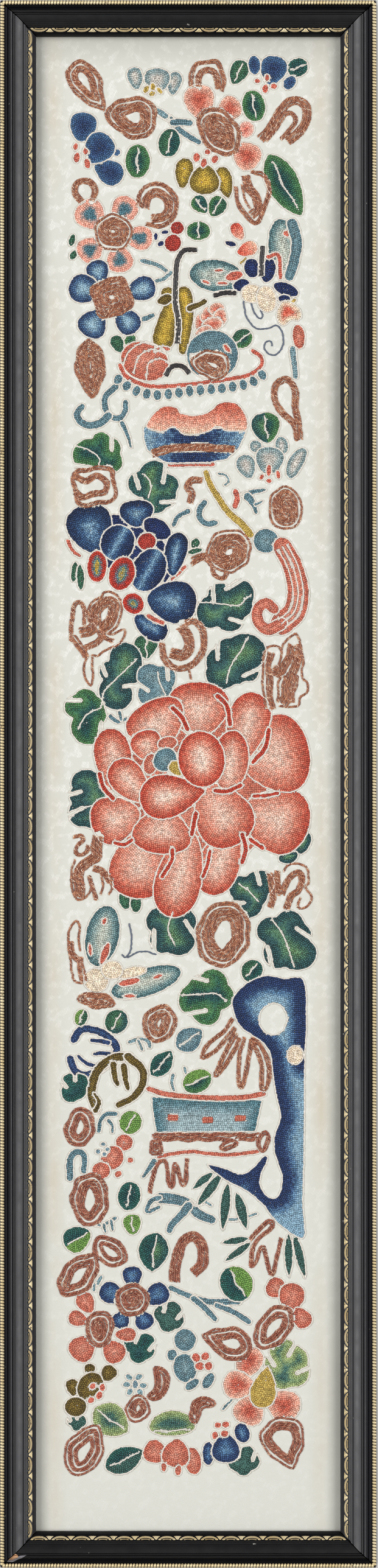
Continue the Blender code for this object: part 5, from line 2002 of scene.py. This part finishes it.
def scallop():
    """A bright crescent that bulges towards the sight edge, with a lens inside it."""
    return relief("scallop", (
        # outer arc, inner arc, crest
        (arc(3.20, 1.38, 0.02, 13), arc(2.20, 0.62, 0.02, 13), 0.5),
        (arc(1.70, 0.50, 0.02, 7), arc(0.95, 0.10, 0.02, 7), 0.34),
    ))


def triangle():
    """The small triangle between two crescents."""
    near = ((-1.45, 1.40), (-0.3, 0.15), (0.3, 0.15), (1.45, 1.40))
    far = ((-0.95, 1.42), (-0.15, 1.42), (0.15, 1.42), (0.95, 1.42))
    return relief("triangle", ((near, far, 0.36),))


class SleeveBandSizes(bpy.types.PropertyGroup):
    """The sizes of the stitches, the weave and the gilt ornament."""

    knot_pitch: FloatProperty(
        name="Knot pitch", description="Distance between two seed knots", default=0.00077,
        min=0.0006, max=0.002, subtype="DISTANCE", unit="LENGTH",
    )
    bead_pitch: FloatProperty(
        name="Gilt bead pitch", description="Distance between two beads of the outer edge", default=0.00112,
        min=0.0008, max=0.004, subtype="DISTANCE", unit="LENGTH",
    )
    scallop_pitch: FloatProperty(
        name="Scallop pitch", description="Length of one repeat of the sight ornament", default=0.0079,
        min=0.004, max=0.02, subtype="DISTANCE", unit="LENGTH",
    )
    seed: IntProperty(name="Seed", description="Fixed seed of the uneven hand work", default=11, min=0)
    cord_width: FloatProperty(
        name="Couched cord", description="Thickness of the white couched cord", default=0.00062,
        min=0.0002, max=0.002, subtype="DISTANCE", unit="LENGTH",
    )
    winding: FloatProperty(
        name="Copper winding", description="Distance between two windings of a copper cord",
        default=0.00062, min=0.0004, max=0.002, subtype="DISTANCE", unit="LENGTH",
    )
    float_length: FloatProperty(
        name="Damask float", description="Length of one float of the damask", default=0.0027,
        min=0.0005, max=0.005, subtype="DISTANCE", unit="LENGTH",
    )
    float_slant: FloatProperty(
        name="Damask slant", description="Turn of the floats from the width, in degrees", default=66.0,
    )


def colour_property(name, description, text):
    """A colour that the user can change, from its sRGB hex value."""
    return FloatVectorProperty(
        name=name, description=description, default=hex_colour(text), min=0.0, max=1.0, subtype="COLOR",
    )


class SleeveBandColours(bpy.types.PropertyGroup):
    """The colours of the silk ground, the laid threads, the gilt and the floor."""

    silk_ground: colour_property("Silk ground", "Matt ground of the damask", "#DFDFD6")
    # Painted sheen: the paler colour of the damask floats
    silk_float_sheen: colour_property("Silk floats", "Floats of the damask in the light", "#F6F6F0")
    silk_fold: colour_property("Fold stain", "Tan of the old folds", "#C9B591")
    # Painted shadow of the rails on the silk
    silk_rail_shadow: colour_property("Painted rail shadow", "Darker silk towards the rails", "#B9B7AC")
    cord: colour_property("White cord", "Couched cord in the light", "#FBF6EE")
    cord_shade: colour_property("White cord in shade", "Couched cord between its plies", "#DDD3C4")
    satin: colour_property("Satin stitches", "Black satin stitches", "#15161B")
    antenna: colour_property("Antennae", "Twisted blue and brown floss", "#5E6B80")
    copper_core: colour_property("Copper core", "Red silk core of the copper thread", "#8C5038")
    gilt: colour_property("Gilt", "Bronzed ornament where it is bright", "#FDF0CB")
    gilt_shade: colour_property("Dull gilt", "Bronzed ornament where it is dull", "#DDC285")
    # Painted shade on the gilt's steep sides and hollows
    gilt_side_shade: colour_property("Gilt side shade", "Brown of the hollows and steep sides", "#6B4A22")
    floor: colour_property("Floor", "Pale paper under the frame", "#E6E5E2")


def worked(context):
    """The band's stitches, worked out the first time that an operator asks for them."""
    if not WORK:
        sizes = context.scene.sleeve_band_sizes
        WORK.append(Work(sizes.knot_pitch / MM, sizes.seed))
    return WORK[0]


def settle(piece):
    """Declares a finished piece: the body it moves with."""
    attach(piece, BODY)


class WeaveGround(bpy.types.Operator):
    """Stretch the damask silk in the frame's rebate"""

    bl_idname = "sleeve_band.weave_ground"
    bl_label = "Silk ground"

    def execute(self, context):
        half_x = (SILK_HIGH[0] - SILK_LOW[0]) / 2 / MM
        half_y = (SILK_HIGH[1] - SILK_LOW[1]) / 2 / MM
        shape = bmesh.new()
        grids = []
        for height, lift in ((SILK_FACE, PUCKER), (SILK_BACK, 0.0)):
            grid = []
            for j in range(SILK_ROWS + 1):
                y = half_y * (2 * j / SILK_ROWS - 1)
                line = []
                for i in range(SILK_COLUMNS + 1):
                    x = half_x * (2 * i / SILK_COLUMNS - 1)
                    wave = lift * math.sin(x * 0.9 + 2 * math.sin(y * 0.11)) * math.sin(y * 0.7 + x * 0.2)
                    line.append(shape.verts.new((x * MM, y * MM, (height + wave) * MM)))
                grid.append(line)
            grids.append(grid)
        top, base = grids
        last = SILK_ROWS
        side = SILK_COLUMNS
        for j in range(last):
            for i in range(side):
                shape.faces.new((top[j][i], top[j][i + 1], top[j + 1][i + 1], top[j + 1][i]))
                shape.faces.new((base[j][i], base[j + 1][i], base[j + 1][i + 1], base[j][i + 1]))
        for i in range(side):
            shape.faces.new((base[0][i], base[0][i + 1], top[0][i + 1], top[0][i]))
            shape.faces.new((top[last][i], top[last][i + 1], base[last][i + 1], base[last][i]))
        for j in range(last):
            shape.faces.new((top[j][0], top[j + 1][0], base[j + 1][0], base[j][0]))
            shape.faces.new((base[j][side], base[j + 1][side], top[j + 1][side], top[j][side]))
        for face in shape.faces:
            face.smooth = True
        piece = shaped_piece("silk_damask", shape)
        scene = context.scene
        silk = damask_finish("woven silk damask", scene.sleeve_band_sizes, scene.sleeve_band_colours)
        piece.data.materials.append(silk)
        settle(piece)
        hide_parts("embroidered_silk")
        return {"FINISHED"}


class TieKnots(bpy.types.Operator):
    """Fill every field with rows of seed knots"""

    bl_idname = "sleeve_band.tie_knots"
    bl_label = "Seed knots"

    def execute(self, context):
        sizes = context.scene.sleeve_band_sizes
        chance = np.random.default_rng(sizes.seed + 1)
        tree = scatter_tree()
        stitch = seed_knot()
        floss = floss_finish("knotted silk floss", SILK_FACE)
        for group, knots in worked(context).knots.items():
            knots = sorted(knots, key=lambda knot: -knot[1])
            parts = math.ceil(len(knots) / KNOTS_A_PIECE)
            for part in range(parts):
                share = knots[part * len(knots) // parts:(part + 1) * len(knots) // parts]
                rows = [
                    (x * MM, y * MM, SILK_FACE * MM, chance.uniform(*KNOT_TURNS), chance.uniform(*KNOT_SIZES),
                     *colour)
                    for x, y, *colour in share
                ]
                piece = grown(f"{group}_knots_{part + 1}", points_mesh(rows), tree,
                              Stitch=stitch, Width=sizes.knot_pitch, Finish=floss)
                settle(piece)
        bpy.data.objects.remove(stitch)
        return {"FINISHED"}


class CouchWhite(bpy.types.Operator):
    """Lay the white cord round every field and along the veins, the black stitches and the antennae"""

    bl_idname = "sleeve_band.couch_white"
    bl_label = "White couched cord"

    def execute(self, context):
        sizes = context.scene.sleeve_band_sizes
        colours = context.scene.sleeve_band_colours
        chance = np.random.default_rng(sizes.seed + 2)
        tree = thread_tree()
        threads = (
            # kind, thickness, height of its middle over the silk, sides, finish
            ("white", sizes.cord_width, CORD_HEIGHT, 4, couching_finish("couched white silk cord", colours)),
            ("black", SATIN_WIDTH * MM, SATIN_HEIGHT, 8, satin_finish("black satin stitches", colours.satin)),
            ("antenna", sizes.cord_width, CORD_HEIGHT, 4,
             satin_finish("twisted blue and brown floss", colours.antenna)),
        )
        for kind, thickness, height, sides, finish in threads:
            cords = [cord for cord in worked(context).cords if cord.kind == kind]
            mesh = lines_mesh(cords, SILK_FACE + height, chance)
            piece = grown(f"{kind}_cords", mesh, tree, Thickness=thickness, Sides=sides, Finish=finish)
            settle(piece)
        return {"FINISHED"}


class CouchCopper(bpy.types.Operator):
    """Lay the copper cords in their rows"""

    bl_idname = "sleeve_band.couch_copper"
    bl_label = "Copper couching"

    def execute(self, context):
        sizes = context.scene.sleeve_band_sizes
        chance = np.random.default_rng(sizes.seed + 3)
        shades = {name: [hex_colour(text) for text in texts] for name, texts in COPPER.items()}
        rows = []
        for cord in worked(context).copper:
            cord.line = swayed(cord.line, cord.closed, chance)
            line = resampled(cord.line, sizes.winding / MM, cord.closed)
            run, rise = headings(line, cord.closed).T
            for (x, y), turn in zip(line, np.arctan2(rise, run)):
                colour = shades[cord.thread][chance.choice(len(COPPER_CHANCES), p=COPPER_CHANCES)]
                rows.append((x * MM, y * MM, SILK_FACE * MM, turn, chance.uniform(*WINDING_SIZES), *colour))
        core = lines_mesh(worked(context).copper, SILK_FACE + CORE_HEIGHT, chance, CORE_STEP)
        core_colour = context.scene.sleeve_band_colours.copper_core
        red = satin_finish("red silk core of the copper thread", core_colour)
        piece = grown("copper_cores", core, thread_tree(), Thickness=COPPER_WIDTH * CORE_SHARE * MM, Sides=4,
                      Finish=red)
        settle(piece)
        rows.sort(key=lambda row: -row[1])
        stitch = cord_grain()
        tree = scatter_tree()
        finish = copper_finish("copper wound thread")
        middle = len(rows) // 2
        for name, share in (("upper", rows[:middle]), ("lower", rows[middle:])):
            piece = grown(f"{name}_copper_cords", points_mesh(share), tree, Stitch=stitch,
                          Width=COPPER_WIDTH * MM, Finish=finish)
            settle(piece)
        bpy.data.objects.remove(stitch)
        return {"FINISHED"}


class GildFrame(bpy.types.Operator):
    """Set the gilt beads along the outer edge and the gilt scallops along the sight edge"""

    bl_idname = "sleeve_band.gild_frame"
    bl_label = "Gilt ornament"

    def execute(self, context):
        sizes = context.scene.sleeve_band_sizes
        finish = gilt_finish("bronzed composition ornament", context.scene.sleeve_band_colours)
        tree = scatter_tree()
        ornaments = (
            # name, ornament, distance from the outer edge, height, pitch, place of the first in its pitch
            ("gilt_beads", gilt_bead(), BEAD_MIDDLE, BEAD_BED, sizes.bead_pitch, 0.5),
            ("gilt_scallops", scallop(), SCALLOP_EDGE, SCALLOP_BED, sizes.scallop_pitch, 0.5),
            ("gilt_triangles", triangle(), SCALLOP_EDGE, SCALLOP_BED, sizes.scallop_pitch, 1.0),
        )
        for name, ornament, distance, height, pitch, first in ornaments:
            rows = gilt_rows(distance, height, pitch / MM, first)
            piece = grown(name, points_mesh(rows), tree, Stitch=ornament, Width=MM, Finish=finish)
            settle(piece)
            bpy.data.objects.remove(ornament)
        return {"FINISHED"}


class FinishFrame(bpy.types.Operator):
    """Lacquer the four rails"""

    bl_idname = "sleeve_band.finish_frame"
    bl_label = "Lacquered rails"

    def execute(self, context):
        for name, ground, gloss in RAIL_LACQUER:
            lacquer = lacquer_finish(f"black lacquer on {name}", ground, gloss, name == "rail_bottom")
            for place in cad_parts[name].material_slots:
                place.material = lacquer
        return {"FINISHED"}


class SetStage(bpy.types.Operator):
    """Set the floor, the soft lights and the camera"""

    bl_idname = "sleeve_band.set_stage"
    bl_label = "Stage"

    def execute(self, context):
        scene = context.scene
        mesh = bpy.data.meshes.new("floor")
        corners = [(x * FLOOR_REACH, y * FLOOR_REACH, 0) for x, y in ((-1, -1), (1, -1), (1, 1), (-1, 1))]
        mesh.from_pydata(corners, [], [(0, 1, 2, 3)])
        mesh.materials.append(paper_finish("pale paper floor", scene.sleeve_band_colours.floor))
        floor = new_piece("floor", mesh)

        world = bpy.data.worlds.new("studio")
        world.use_nodes = True
        sky = world.node_tree.nodes["Background"]
        feed(world.node_tree, sky, {"Color": (1, 1, 1), "Strength": SKY_STRENGTH})
        scene.world = world
        for name, side, power in SOFTBOXES:
            light = bpy.data.lights.new(name, "AREA")
            light.shape = "RECTANGLE"
            light.size, light.size_y = SOFTBOX_SIZE
            light.energy = power
            lamp = new_piece(name, light)
            lamp.location = (side * SOFTBOX_AWAY, SOFTBOX_FORWARD, SOFTBOX_AWAY)
            lamp.rotation_euler = (0, side * math.radians(45), 0)

        lens = bpy.data.cameras.new("camera")
        lens.sensor_fit = "AUTO"
        lens.lens = lens.sensor_width * CAMERA_HEIGHT / (PHOTO_HEIGHT * PHOTO_MM * MM)
        lens.clip_start = 0.01
        camera = new_piece("camera", lens)
        middle = (PHOTO_WIDTH / 2 - PHOTO_MIDDLE_X) * PHOTO_MM * MM
        camera.location = (middle, 0, CAMERA_HEIGHT + FRAME_FACE * MM)
        scene.camera = camera
        scene.view_settings.view_transform = "Standard"
        return {"FINISHED"}


class SleeveBandPanel(bpy.types.Panel):
    """The steps that work the sleeve band"""

    bl_idname = "VIEW3D_PT_sleeve_band"
    bl_label = "Sleeve band"
    bl_space_type = "VIEW_3D"
    bl_region_type = "UI"
    bl_category = "Sleeve band"

    def draw(self, context):
        for group in (context.scene.sleeve_band_sizes, context.scene.sleeve_band_colours):
            for name in type(group).__annotations__:
                self.layout.prop(group, name)
        for step in STEPS:
            self.layout.operator(step.bl_idname)


WORK = []
STEPS = (WeaveGround, TieKnots, CouchWhite, CouchCopper, GildFrame, FinishFrame, SetStage)
CLASSES = (SleeveBandSizes, SleeveBandColours, *STEPS, SleeveBandPanel)


def register():
    for part in CLASSES:
        bpy.utils.register_class(part)
    bpy.types.Scene.sleeve_band_sizes = PointerProperty(type=SleeveBandSizes)
    bpy.types.Scene.sleeve_band_colours = PointerProperty(type=SleeveBandColours)


def unregister():
    del bpy.types.Scene.sleeve_band_colours
    del bpy.types.Scene.sleeve_band_sizes
    for part in reversed(CLASSES):
        bpy.utils.unregister_class(part)


def main():
    register()
    for step in STEPS:
        family, verb = step.bl_idname.split(".")
        getattr(getattr(bpy.ops, family), verb)()


if __name__ == "__main__":
    main()
